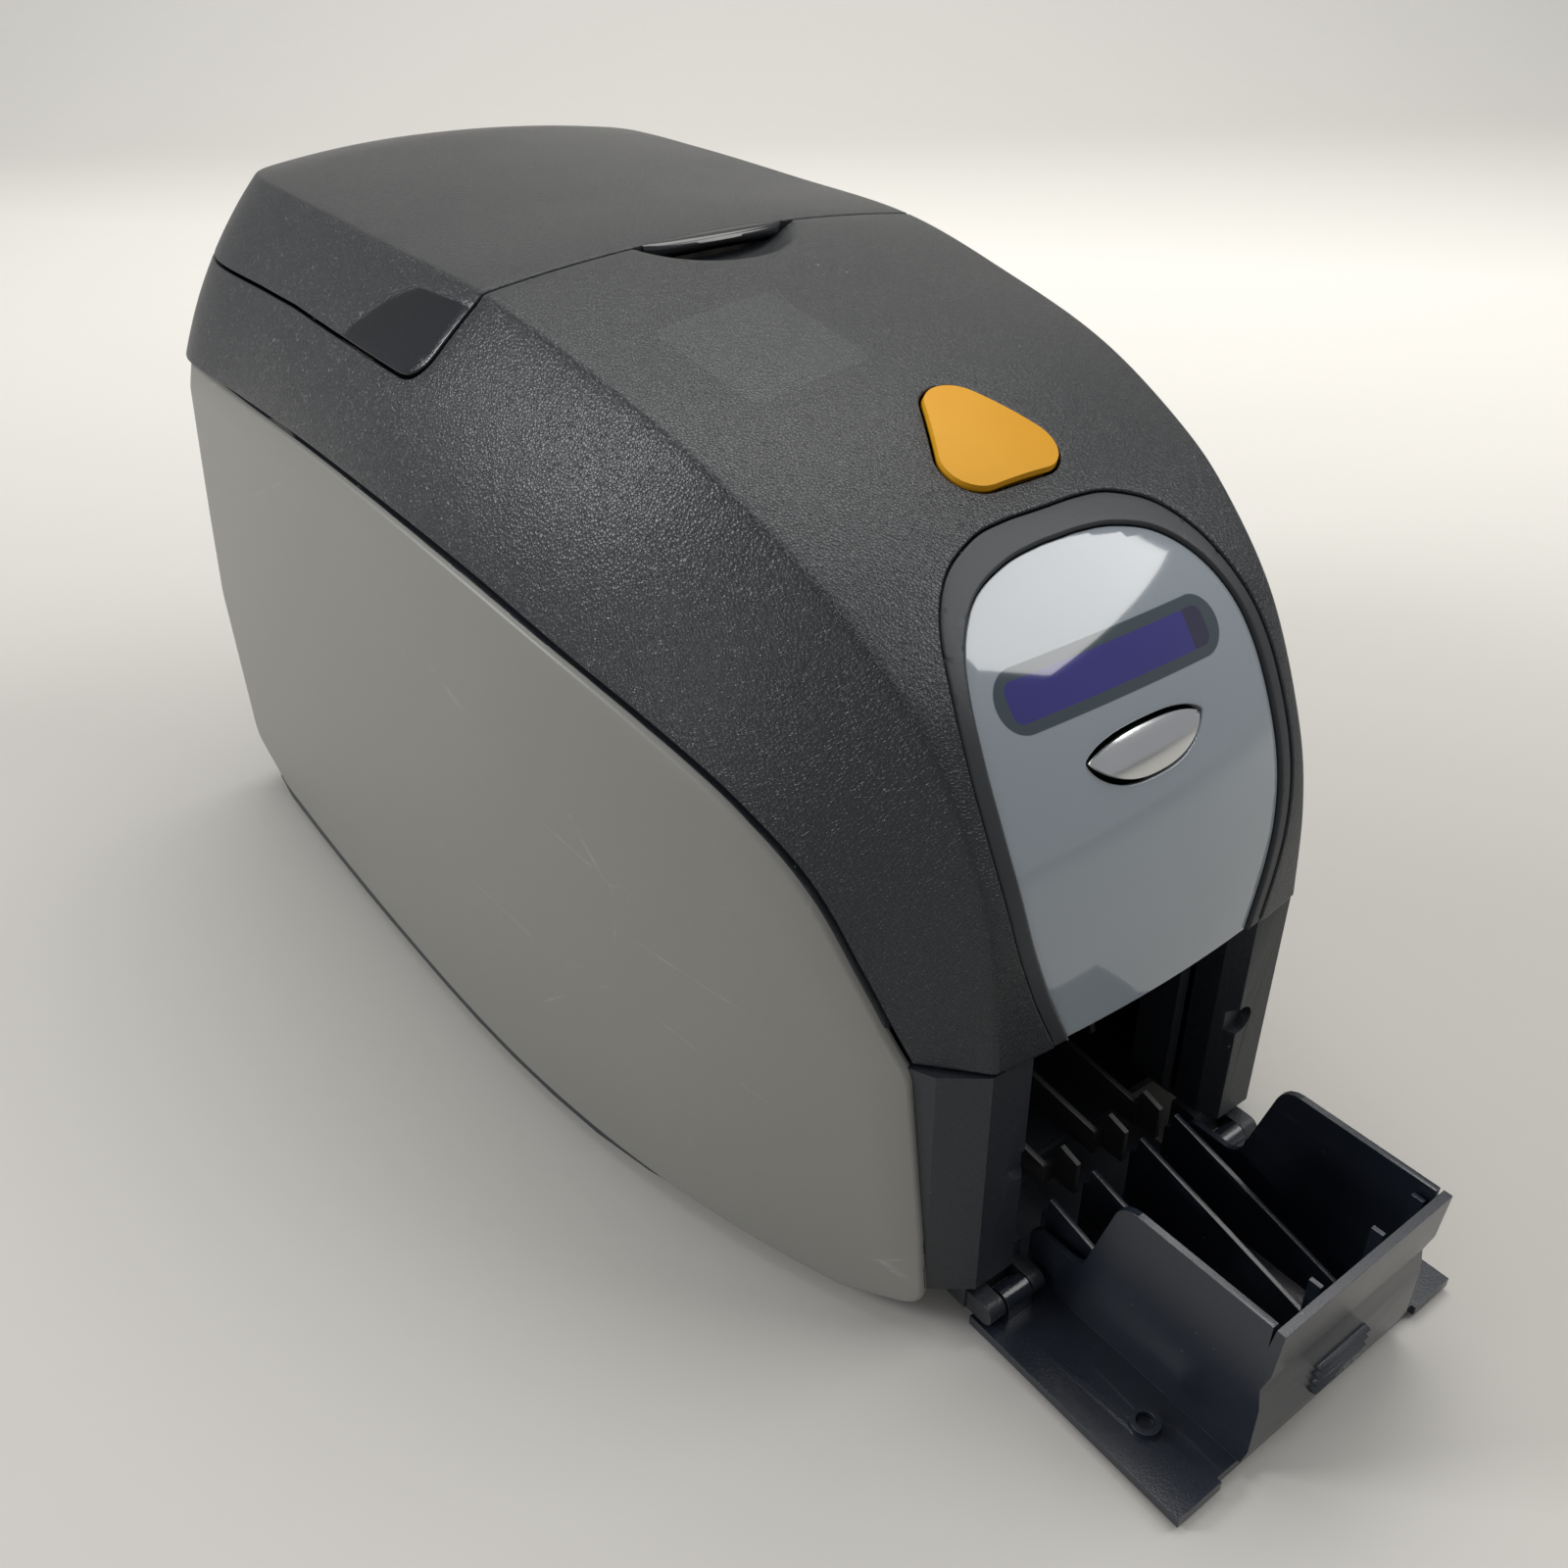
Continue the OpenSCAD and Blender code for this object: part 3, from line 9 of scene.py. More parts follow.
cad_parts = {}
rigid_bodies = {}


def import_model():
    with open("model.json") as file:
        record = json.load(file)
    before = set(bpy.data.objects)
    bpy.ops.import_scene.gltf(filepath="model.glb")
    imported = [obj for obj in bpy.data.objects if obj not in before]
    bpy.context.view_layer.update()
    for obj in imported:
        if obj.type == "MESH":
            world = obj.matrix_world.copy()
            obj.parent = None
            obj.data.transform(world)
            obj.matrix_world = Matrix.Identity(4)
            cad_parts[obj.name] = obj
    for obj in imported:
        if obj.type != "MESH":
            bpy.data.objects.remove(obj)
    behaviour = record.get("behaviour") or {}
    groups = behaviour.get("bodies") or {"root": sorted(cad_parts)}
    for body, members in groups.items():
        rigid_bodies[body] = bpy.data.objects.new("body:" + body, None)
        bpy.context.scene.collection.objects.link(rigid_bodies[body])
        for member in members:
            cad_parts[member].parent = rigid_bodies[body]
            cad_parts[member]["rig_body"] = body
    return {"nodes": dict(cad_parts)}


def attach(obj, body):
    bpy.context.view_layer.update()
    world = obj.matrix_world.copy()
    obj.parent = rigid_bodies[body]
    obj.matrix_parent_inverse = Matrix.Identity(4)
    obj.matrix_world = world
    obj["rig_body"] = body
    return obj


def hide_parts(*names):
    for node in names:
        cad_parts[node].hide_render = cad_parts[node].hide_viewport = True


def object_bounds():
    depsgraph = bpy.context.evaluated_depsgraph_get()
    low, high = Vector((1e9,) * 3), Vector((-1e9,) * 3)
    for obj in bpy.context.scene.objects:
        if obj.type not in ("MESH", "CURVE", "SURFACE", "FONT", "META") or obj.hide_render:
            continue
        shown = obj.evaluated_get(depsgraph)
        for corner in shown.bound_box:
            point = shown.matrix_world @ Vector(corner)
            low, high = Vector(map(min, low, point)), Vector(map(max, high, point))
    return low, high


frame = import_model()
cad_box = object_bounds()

# ---------------------------------------------------------------- table, light and camera
# The printer stands on a pale seamless sheet that curves up behind it. Broad soft
# boxes light it from above, from the rear left and from the front right.

PAPER = (0.56, 0.545, 0.52)
# Sheet colours: the painted shade near the front left, the painted light far to the back right, and
# the fibres.
PAPER_PAINTED_SHADE, PAPER_PAINTED_LIGHT, FIBRE = (0.435, 0.423, 0.396), (0.86, 0.84, 0.79), (0.50, 0.49, 0.465)
SWEEP_FRONT, SWEEP_DEPTH, SWEEP_TOP, SWEEP_BEND, SWEEP_HALF = -3.2, 2.2, 3.2, 0.7, 4.5
BEND_STEPS = 12
AZIMUTH, ELEVATION, ROLL = math.radians(-36.46), math.radians(33.07), math.radians(-1.12)


class Sock:
    """A shader socket that adds its Math nodes when it is used in sums and products."""

    def __init__(self, tree, out):
        self.tree, self.out = tree, out

    def math(self, op, a, b=None, clamp=False):
        node = self.tree.nodes.new("ShaderNodeMath")
        node.operation = op
        node.use_clamp = clamp
        for slot, value in zip(node.inputs, (a, b)):
            if isinstance(value, Sock):
                self.tree.links.new(value.out, slot)
            elif value is not None:
                slot.default_value = value
        return Sock(self.tree, node.outputs[0])

    def __add__(self, o): return self.math("ADD", self, o)
    def __radd__(self, o): return self.math("ADD", o, self)
    def __sub__(self, o): return self.math("SUBTRACT", self, o)
    def __rsub__(self, o): return self.math("SUBTRACT", o, self)
    def __mul__(self, o): return self.math("MULTIPLY", self, o)
    def __rmul__(self, o): return self.math("MULTIPLY", o, self)
    def __truediv__(self, o): return self.math("DIVIDE", self, o)
    def abs(self): return self.math("ABSOLUTE", self)
    def sqrt(self): return self.math("SQRT", self)
    def max(self, o): return self.math("MAXIMUM", self, o)
    def min(self, o): return self.math("MINIMUM", self, o)
    def clamp(self): return self.math("ADD", self, 0.0, clamp=True)
    def above(self, level, soft): return ((self - level) / soft + 0.5).clamp()
    def below(self, level, soft): return ((level - self) / soft + 0.5).clamp()


class Finish:
    """A material under construction: its tree, its Principled shader and its coordinates."""

    def __init__(self, name, colour, roughness, metallic=0.0, **fixed):
        self.mat = bpy.data.materials.new(name)
        self.mat.use_nodes = True
        self.tree = self.mat.node_tree
        self.tree.nodes.clear()
        self.bsdf = self.tree.nodes.new("ShaderNodeBsdfPrincipled")
        output = self.tree.nodes.new("ShaderNodeOutputMaterial")
        self.tree.links.new(self.bsdf.outputs[0], output.inputs[0])
        self.bsdf.inputs["Base Color"].default_value = (*colour, 1)
        self.bsdf.inputs["Roughness"].default_value = roughness
        self.bsdf.inputs["Metallic"].default_value = metallic
        for key, value in fixed.items():
            self.bsdf.inputs[key.replace("_", " ")].default_value = value
        self.mat.diffuse_color = (*colour, 1)
        self.where = self.node("ShaderNodeTexCoord", out="Object")

    def node(self, kind, settings=None, out=0, **inputs):
        """Adds a node, sets its settings, then the values or links of its sockets."""
        node = self.tree.nodes.new(kind)
        stops = None
        for key, value in (settings or {}).items():
            if key == "stops":
                stops = value
            else:
                setattr(node, key, value)
        if stops:
            ramp = node.color_ramp
            while len(ramp.elements) < len(stops):
                ramp.elements.new(0.5)
            for element, (place, colour) in zip(ramp.elements, stops):
                element.position = place
                element.color = colour if len(colour) == 4 else (*colour, 1)
        for key, value in inputs.items():
            key = key.replace("_", " ")
            by_number = key[0] == "i" and key[1:].isdigit()
            slot = node.inputs[int(key[1:]) if by_number else key]
            if isinstance(value, Sock):
                self.tree.links.new(value.out, slot)
            else:
                slot.default_value = value
        return Sock(self.tree, node.outputs[out])

    def noise(self, scale, detail=3.0, rough=0.55, at=None):
        return self.node("ShaderNodeTexNoise", Vector=at or self.where, Scale=scale, Detail=detail,
                         Roughness=rough)

    def cells(self, scale, feature="F1", at=None):
        return self.node("ShaderNodeTexVoronoi", {"feature": feature}, Vector=at or self.where,
                         Scale=scale)

    def blend(self, factor, a, b):
        """Colour a where factor is 0 and b where it is 1."""
        pick = lambda c: c if isinstance(c, Sock) else (*c, 1)
        return self.node("ShaderNodeMix", {"data_type": "RGBA"}, 2, i0=factor, i6=pick(a),
                         i7=pick(b))

    def xyz(self):
        split = self.tree.nodes.new("ShaderNodeSeparateXYZ")
        self.tree.links.new(self.where.out, split.inputs[0])
        return [Sock(self.tree, o) for o in split.outputs]

    def stretched(self, x, y, z):
        return self.node("ShaderNodeMapping", Vector=self.where, Scale=(x, y, z))

    def put(self, **sockets):
        for key, value in sockets.items():
            self.tree.links.new(value.out, self.bsdf.inputs[key.replace("_", " ")])

    def bump(self, height, distance, strength=1.0):
        return self.node("ShaderNodeBump", Height=height, Distance=distance, Strength=strength)


paper = Finish("pale_paper", PAPER, 0.8)
fibres = paper.noise(90, 4)
x, y, z = paper.xyz()
# Painted light falloff: the sheet is painted darker near the front left and lighter towards the
# back right.
painted_falloff = ((x * 0.78 + y * 0.63 - 0.05) * 1.15).clamp()
shade = paper.blend(painted_falloff, PAPER_PAINTED_SHADE, PAPER_PAINTED_LIGHT)
paper.put(Base_Color=paper.blend(fibres * 0.06, shade, FIBRE),
          Normal=paper.bump(fibres, 0.0004, 0.3))

sweep = bmesh.new()
profile = [(SWEEP_FRONT, 0.0), (SWEEP_DEPTH - SWEEP_BEND, 0.0)]
for step in range(1, BEND_STEPS + 1):
    turn = math.pi / 2 * step / BEND_STEPS
    profile.append((SWEEP_DEPTH - SWEEP_BEND + SWEEP_BEND * math.sin(turn),
                    SWEEP_BEND - SWEEP_BEND * math.cos(turn)))
profile.append((SWEEP_DEPTH, SWEEP_TOP))
into = Vector((-math.sin(AZIMUTH), math.cos(AZIMUTH), 0))
side = Vector((into.y, -into.x, 0))
rails = []
for across in (-SWEEP_HALF, SWEEP_HALF):
    rails.append([sweep.verts.new(side * across + into * u + Vector((0, 0, v)))
                  for u, v in profile])
for k in range(len(profile) - 1):
    sweep.faces.new((rails[0][k], rails[1][k], rails[1][k + 1], rails[0][k + 1]))
sweep_mesh = bpy.data.meshes.new("paper_sweep")
sweep.to_mesh(sweep_mesh)
sweep.free()
for face in sweep_mesh.polygons:
    face.use_smooth = True
sweep_mesh.materials.append(paper.mat)
paper_sweep = bpy.data.objects.new("paper_sweep", sweep_mesh)
bpy.context.scene.collection.objects.link(paper_sweep)

AIM = Vector((0.0, -0.05, 0.11))


def soft_box(name, place, width, height, watts, tint):
    """A rectangular lamp that faces the printer."""
    lamp = bpy.data.lights.new(name, "AREA")
    lamp.shape = "RECTANGLE"
    lamp.size, lamp.size_y = width, height
    lamp.energy = watts
    lamp.color = tint
    box = bpy.data.objects.new(name, lamp)
    facing = (AIM - Vector(place)).to_track_quat("-Z", "Y")
    box.matrix_world = Matrix.Translation(place) @ facing.to_matrix().to_4x4()
    bpy.context.scene.collection.objects.link(box)


soft_box("top_box", (0.35, 0.35, 1.6), 1.4, 1.2, 20.5, (1.0, 0.985, 0.95))
soft_box("left_box", (-1.30, 0.76, 0.92), 0.5, 0.5, 15, (0.98, 0.99, 1.0))
soft_box("low_left_box", (-1.5, 0.06, 0.34), 0.2, 0.2, 2.4, (1.0, 1.0, 0.98))
soft_box("front_box", (0.86, -0.66, 1.24), 0.75, 0.75, 9, (1.0, 0.99, 0.97))

world = bpy.data.worlds.new("tent")
world.use_nodes = True
glow = world.node_tree.nodes["Background"]
glow.inputs["Color"].default_value = (0.95, 0.96, 1.0, 1)
glow.inputs["Strength"].default_value = 0.38
bpy.context.scene.world = world
bpy.context.scene.view_settings.view_transform = "Standard"

CAMERA_AT = Vector((-0.2148, -0.3257, 0.3010))
SENSOR_MM, FOCAL_PX, FRAME_PX = 36.0, 1471.4, 1600
back = Vector((math.sin(AZIMUTH) * math.cos(ELEVATION), -math.cos(AZIMUTH) * math.cos(ELEVATION),
               math.sin(ELEVATION)))
right = (-back).cross(Vector((0, 0, 1))).normalized()
up = right.cross(-back)
right, up = (math.cos(ROLL) * right + math.sin(ROLL) * up,
             math.cos(ROLL) * up - math.sin(ROLL) * right)
camera_data = bpy.data.cameras.new("camera")
camera_data.sensor_width = SENSOR_MM
camera_data.lens = SENSOR_MM * FOCAL_PX / FRAME_PX
camera_data.clip_start = 0.01
camera = bpy.data.objects.new("camera", camera_data)
camera.matrix_world = Matrix(((right.x, up.x, back.x, CAMERA_AT.x),
                              (right.y, up.y, back.y, CAMERA_AT.y),
                              (right.z, up.z, back.z, CAMERA_AT.z), (0, 0, 0, 1)))
bpy.context.scene.collection.objects.link(camera)
bpy.context.scene.camera = camera

# ---------------------------------------------------------------- lid shell
# The upper casing is one ABS moulding 2.5 mm thick with a fine leather grain. Two creases
# run from the rear corners to the front and part the crowned top from the swelling sides.

# Rows in millimetres from the rear to the front: the crease's half width, y and z, then the
# lower edge's half width, y and z.
LID_ROWS = np.array([
    (10, 181, 216, 14, 182, 170), (34, 176, 217, 46, 180, 170), (53, 160, 219, 76, 170, 170),
    (64, 136, 220.5, 94, 148, 170), (66, 92, 219.5, 94.5, 100, 170), (66, 42, 217.5, 94.5, 52, 170),
    (65.5, -9, 215, 94, 4, 168), (63.5, -52, 207, 91.5, -38, 163), (61.5, -87, 198, 87.5, -75, 155),
    (58.5, -116, 185.5, 82, -102, 146.5), (56, -134, 174, 76.5, -122, 137),
    (52.5, -153, 156, 70.5, -139, 123), (50.5, -167, 130.5, 66, -151, 104),
    (50, -173, 109.5, 63.5, -157, 93), (50, -175.5, 84.5, 61.5, -162, 84.5)])
FRONT_ROW = len(LID_ROWS) - 1
LID_WALL, LID_EDGE, LID_GAP, LID_PITCH = 2.4, 0.5, 0.4, 2.6
CREASE_CUT, BELLY, TRACE_STEP = 0.9, 6.0, 1e-4
RIM_STEPS = (0.13, 0.38, 0.7, 1.0)
CROWN_REAR, CROWN_ROOF, CROWN_FRONT, ROOF_ROW = 1.5, 5.0, 3.5, 3


def unit(v):
    return v / np.linalg.norm(v, axis=-1, keepdims=True)


def lid_rail(s):
    """Crease and lower edge at row s, on a Catmull-Rom curve through the rows."""
    s = np.clip(s, 0, FRONT_ROW)
    i = np.minimum(np.floor(s).astype(int), FRONT_ROW - 1)
    t = (s - i)[:, None]
    a, b, c, d = (LID_ROWS[np.clip(i + k, 0, FRONT_ROW)] for k in (-1, 0, 1, 2))
    return (2 * b + (c - a) * t + (2 * a - 5 * b + 4 * c - d) * t ** 2
            + (3 * b - a - 3 * c + d) * t ** 3) / 2


def lid_skin(uv):
    """Points of the lid's right half at (q, s).

    q is 0 on the middle line, 1 on the crease and 2 at the lower edge; s is the row."""
    q, s = uv[:, 0], uv[:, 1]
    row = np.maximum(s, 0)
    r = lid_rail(row)
    g = lid_rail(np.minimum(row + 0.1, FRONT_ROW)) - lid_rail(np.maximum(row - 0.1, 0))
    zero = np.zeros_like(q)
    lift = unit(np.stack([zero, g[:, 2], -g[:, 1]], 1))
    outward = unit(np.stack([-g[:, 4], g[:, 3], zero], 1))
    crease, low = r[:, :3], r[:, 3:]
    belly = BELLY * np.clip((11 - row) / 6, 0, 1)[:, None]
    bulge = (crease + low) / 2 + belly * unit(outward + np.array([0, 0, 0.7]))
    rear_crown = CROWN_REAR + (CROWN_ROOF - CROWN_REAR) * row / ROOF_ROW
    past_roof = row - ROOF_ROW
    front_crown = CROWN_ROOF - (CROWN_ROOF - CROWN_FRONT) * past_roof / (FRONT_ROW - ROOF_ROW)
    crown = np.where(row < ROOF_ROW, rear_crown, front_crown)[:, None]

    def top(f):
        return np.concatenate([crease[:, :1] * f, crease[:, 1:]], 1) + lift * crown * (1 - f * f)

    def swell(t):
        return low * (1 - t) ** 2 + bulge * 2 * t * (1 - t) + crease * t * t

    cut_top = CREASE_CUT / crease[:, :1]
    cut_side = CREASE_CUT / np.linalg.norm(crease - low, axis=1)[:, None]
    k = np.clip((q[:, None] - 1 + cut_top) / (cut_top + cut_side), 0, 1)
    rounded = (top(1 - cut_top) * (1 - k) ** 2 + crease * 2 * k * (1 - k)
               + swell(1 - cut_side) * k * k)
    p = np.where(k <= 0, top(q[:, None]), np.where(k >= 1, swell(2 - q[:, None]), rounded))
    p[:, 0] *= np.clip(1 + s, 0, 1)
    return p


def surface_frame(surface, uv):
    """Tangents along both coordinates and the outward normal."""
    step = 1e-3
    du, dv = np.array([step, 0]), np.array([0, step])
    pu = (surface(uv + du) - surface(uv - du)) / (2 * step)
    pv = (surface(uv + dv) - surface(uv - dv)) / (2 * step)
    return pu, pv, unit(np.cross(pv, pu) + 1e-12)


def trace(surface, start, residuals):
    """Follows a curve on a surface: each residual turns a point into two numbers made zero."""
    here, found = np.array(start, float), []
    for residual in residuals:
        for _ in range(14):
            probe = surface(np.array([here, here + (TRACE_STEP, 0), here + (0, TRACE_STEP)]))
            r0, ru, rv = residual(probe[0]), residual(probe[1]), residual(probe[2])
            jac = np.stack([(ru - r0) / TRACE_STEP, (rv - r0) / TRACE_STEP], 1)
            move = np.linalg.lstsq(jac, -r0, rcond=None)[0]
            move *= min(1.0, 0.35 / max(1e-9, np.abs(move).max()))
            here = here + move
            if np.abs(move).max() < 1e-7:
                break
        found.append(here.copy())
    return np.array(found)


def inside(points, loop):
    """True for points inside a closed outline."""
    x, y = points[:, 0][:, None], points[:, 1][:, None]
    ax, ay = loop[:, 0], loop[:, 1]
    bx, by = np.roll(ax, -1), np.roll(ay, -1)
    crosses = (ay > y) != (by > y)
    with np.errstate(divide="ignore", invalid="ignore"):
        at = ax + (y - ay) * (bx - ax) / (by - ay)
    return (np.count_nonzero(crosses & (x < at), axis=1) % 2).astype(bool)


def mesh_skin(surface, loop, free, wall, edge, pitch, flat, dents=(), lines=()):
    """Closed skin over the part of a surface inside loop, in (u, v).

    Edges of the loop marked free are rounded off with radius edge and get a rim down to the
    inner face; the others meet a neighbour. flat turns (u, v) into roughly millimetres. dents
    are functions that move points, and lines are rows of points that the mesh keeps. Returns
    the points, the faces, the points along the loop and the number of outer points."""
    loop = np.array(loop, float)
    count = len(loop)
    pts = surface(loop)
    pu, pv, normal = surface_frame(surface, loop)
    before, after = np.roll(np.arange(count), 1), np.roll(np.arange(count), -1)
    free = np.array(free, bool)
    tangent = (np.where(free[:, None], pts[after] - pts, 0)
               + np.where(free[before][:, None], pts - pts[before], 0))
    seam = np.abs(pts[:, 0]) < 1e-6
    tangent[seam & (free | free[before])] *= (1, 0, 0)
    on_rim = free | free[before]
    inward = np.zeros_like(pts)
    inward[on_rim] = unit(np.cross(normal[on_rim], tangent[on_rim]))
    jac = np.stack([pu, pv], 2)
    step_uv = np.stack([np.linalg.lstsq(jac[i], inward[i], rcond=None)[0]
                        for i in range(count)])
    test = loop[on_rim] + step_uv[on_rim] * 0.3
    if inside(test, loop).mean() < 0.5:
        step_uv = -step_uv
    step_uv[seam, 0] = 0.0
    uv, sink = [loop], [np.where(on_rim, edge, 0.0)]
    for share in RIM_STEPS:
        d = edge * share
        uv.append(loop[on_rim] + step_uv[on_rim] * d)
        fall = edge - math.sqrt(max(0, edge ** 2 - (edge - d) ** 2))
        sink.append(np.full(on_rim.sum(), fall))
    uv, sink = np.concatenate(uv), np.concatenate(sink)
    keep = np.ones(len(uv), bool)
    keep[count:] = inside(uv[count:], loop) | np.tile(seam[on_rim], len(RIM_STEPS))
    uv, sink = uv[keep], sink[keep]
    edges = [(i, int(after[i])) for i in range(count)]
    for line in lines:
        edges += [(len(uv) + k, len(uv) + k + 1) for k in range(len(line) - 1)]
        uv, sink = np.concatenate([uv, line]), np.concatenate([sink, np.zeros(len(line))])
    flat_uv, flat_loop = flat(uv), flat(loop)
    low, high = flat_loop.min(0), flat_loop.max(0)
    rows = []
    for j, v in enumerate(np.arange(low[1], high[1], pitch * 0.87)):
        u = np.arange(low[0] + (j % 2) * pitch / 2, high[0], pitch)
        rows.append(np.stack([u, np.full_like(u, v)], 1))
    grid = np.concatenate(rows)
    grid = grid[inside(grid, flat_loop)]
    near = np.concatenate([
        np.min(np.linalg.norm(grid[k:k + 500, None] - flat_uv[None], axis=2), axis=1)
        for k in range(0, len(grid), 500)])
    grid = grid[near > pitch * 0.55]
    sites = np.concatenate([flat_uv, grid])
    sink = np.concatenate([sink, np.zeros(len(grid))])
    verts, _, tris, made_from, _, _ = delaunay_2d_cdt([Vector(p) for p in sites], edges, [], 0,
                                                      1e-7)
    verts = np.array([(v.x, v.y) for v in verts])
    tris = np.array([t for t in tris if len(t) == 3])
    tris = tris[inside(verts[tris].mean(1), flat_loop)]
    back = np.array([m[0] if m else -1 for m in made_from])
    sink = np.where(back >= 0, sink[back], 0.0)
    known = ((back >= 0) & (back < len(uv)))[:, None]
    exact = np.where(known, uv[np.clip(back, 0, len(uv) - 1)], flat(verts, -1))
    outer = surface(exact)
    _, _, normal = surface_frame(surface, exact)
    rim_at = {int(b): k for k, b in enumerate(back) if 0 <= b < count}
    inner = outer - normal * wall
    outer = outer - normal * sink[:, None]
    for dent in dents:
        moved = dent(outer)
        outer, inner = moved, inner + moved - outer
    a, b, c = outer[tris[:, 0]], outer[tris[:, 1]], outer[tris[:, 2]]
    wrong = np.einsum("ij,ij->i", np.cross(b - a, c - a), normal[tris[:, 0]]) < 0
    tris[wrong] = tris[wrong][:, ::-1]
    n = len(outer)
    faces = [tuple(t) for t in tris] + [tuple(t[::-1] + n) for t in tris]
    for i in range(count):
        if free[i]:
            p, r = rim_at.get(i), rim_at.get(int(after[i]))
            if p is not None and r is not None and p != r:
                faces.append((p, r, r + n, p + n))
    return np.concatenate([outer, inner]), faces, [rim_at.get(i) for i in range(count)], n


def both_halves(points, faces):
    """The half and its mirror image across the middle."""
    n = len(points)
    other = points * (-1, 1, 1)
    return np.concatenate([points, other]), faces + [tuple(v + n for v in f[::-1]) for f in faces]


def build(name, points, faces, finish, body, sharp=40, orient=False):
    """A mesh object from points in millimetres; it rides on its CAD body."""
    mesh = bpy.data.meshes.new(name)
    work = bmesh.new()
    held = np.clip(points, np.array(cad_box[0]) * 1000, np.array(cad_box[1]) * 1000)
    verts = [work.verts.new(Vector(p) / 1000) for p in held]
    for f in faces:
        if len(set(f)) == len(f):
            try:
                work.faces.new([verts[v] for v in f])
            except ValueError:
                pass
    bmesh.ops.remove_doubles(work, verts=work.verts, dist=1e-6)
    bmesh.ops.dissolve_degenerate(work, edges=work.edges, dist=1e-7)
    if orient:
        bmesh.ops.recalc_face_normals(work, faces=work.faces)
    loose = [v for v in work.verts if not v.link_faces]
    bmesh.ops.delete(work, geom=loose, context="VERTS")
    work.to_mesh(mesh)
    work.free()
    for face in mesh.polygons:
        face.use_smooth = True
    mesh.set_sharp_from_angle(angle=math.radians(sharp))
    mesh.materials.append(finish)
    piece = bpy.data.objects.new(name, mesh)
    bpy.context.scene.collection.objects.link(piece)
    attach(piece, body)
    return piece


def rounded_line(corners, steps=8, closed=True):
    """Points of an outline through [x, y, radius] corners."""
    out = []
    n = len(corners)
    for k, (x, y, r) in enumerate(corners):
        if not r or (not closed and k in (0, n - 1)):
            out.append((x, y))
            continue
        b = np.array((x, y), float)
        u = unit(np.array(corners[k - 1][:2], float) - b)
        v = unit(np.array(corners[(k + 1) % n][:2], float) - b)
        half = math.acos(max(-1, min(1, u @ v))) / 2
        centre = b + unit(u + v) * r / math.sin(half)
        p, q = b + u * r / math.tan(half) - centre, b + v * r / math.tan(half) - centre
        out += [tuple(centre + r * unit(p + (q - p) * i / steps)) for i in range(steps + 1)]
    return np.array(out)


def evenly(line, gap):
    """The same line with its points about gap apart."""
    line = np.array(line, float)
    run = np.concatenate([[0], np.cumsum(np.linalg.norm(np.diff(line, axis=0), axis=1))])
    at = np.linspace(0, run[-1], max(2, int(round(run[-1] / gap)) + 1))
    return np.stack([np.interp(at, run, line[:, k]) for k in range(line.shape[1])], 1)


def flat_lid(uv, way=1):
    """(q, s) of the lid skin laid out in roughly millimetres, or back when way is -1."""
    scale = np.array((58.0, 26.0))
    return uv * scale if way > 0 else uv / scale


# Seam between lid and feeder cover in side view, as y, z and corner radius, from the top to
# the rear.
COVER_SEAM = [(-9.5, 240, 0), (-9.5, 213.5, 3), (0.2, 194.4, 13), (74.5, 198.1, 60),
              (150, 198.6, 30), (196, 199.5, 0)]


def cover_seam(shift):
    """The seam moved by shift, in (q, s): from the middle of the top to the middle of the rear."""
    line = rounded_line([(y + (shift if y < 20 else 0), z + (shift if z < 212 else 0), r)
                         for y, z, r in COVER_SEAM], closed=False)
    y_top = line[0][0]
    start = trace(lid_skin, (0.0, 6.0), [lambda p: np.array((p[1] - y_top, p[0]))])[0]
    across = [np.array((0.0, start[1]))]
    for q in np.linspace(0.03, 1.0, 40):
        s_here = across[-1][1]
        for _ in range(8):
            pts = lid_skin(np.array([(q, s_here), (q, s_here + TRACE_STEP)]))
            s_here -= (pts[0][1] - y_top) / ((pts[1][1] - pts[0][1]) / TRACE_STEP)
        across.append(np.array((q, s_here)))
    z_now = lid_skin(np.array([across[-1]]))[0][2]
    down = evenly([p for p in line if p[1] < z_now - 0.3 and p[0] < 150], 1.3)
    side_part = trace(lid_skin, across[-1],
                      [(lambda p, t=t: np.array((p[1] - t[0], p[2] - t[1]))) for t in down])
    x_now = lid_skin(side_part[-1:])[0][0]
    xs = np.linspace(x_now - 1.5, 15.0, 52)
    rear_y, rear_z = COVER_SEAM[-1][:2]
    level = lambda y: float(np.interp(y, [down[-1][0], rear_y], [down[-1][1], rear_z]))
    rear_part = trace(lid_skin, side_part[-1],
                      [(lambda p, x=x: np.array((p[0] - x, p[2] - level(p[1])))) for x in xs])
    q_end = rear_part[-1][0]
    for _ in range(6):
        pts = lid_skin(np.array([(q_end, 0.0), (q_end + TRACE_STEP, 0.0)]))
        q_end -= (pts[0][2] - level(pts[0][1])) / ((pts[1][2] - pts[0][2]) / TRACE_STEP)
    strip = np.array([(q_end, s) for s in np.linspace(0, -1, 9)])
    return np.concatenate([np.array(across), side_part, rear_part, strip])


def crease_lines(first, last):
    """Mesh lines that keep the crease crisp: its two edges and its middle."""
    row = np.linspace(first, last, int((last - first) * 14) + 2)
    r = lid_rail(row)
    above = CREASE_CUT / r[:, 0]
    below = CREASE_CUT / np.linalg.norm(r[:, :3] - r[:, 3:], axis=1)
    return [np.stack([1 + k, row], 1) for k in (-above, above * 0, below)]


def flank_end(s):
    """q where the side face begins below the rounded crease."""
    r = lid_rail(np.array([s]))[0]
    return 1 + CREASE_CUT / np.linalg.norm(r[:3] - r[3:])


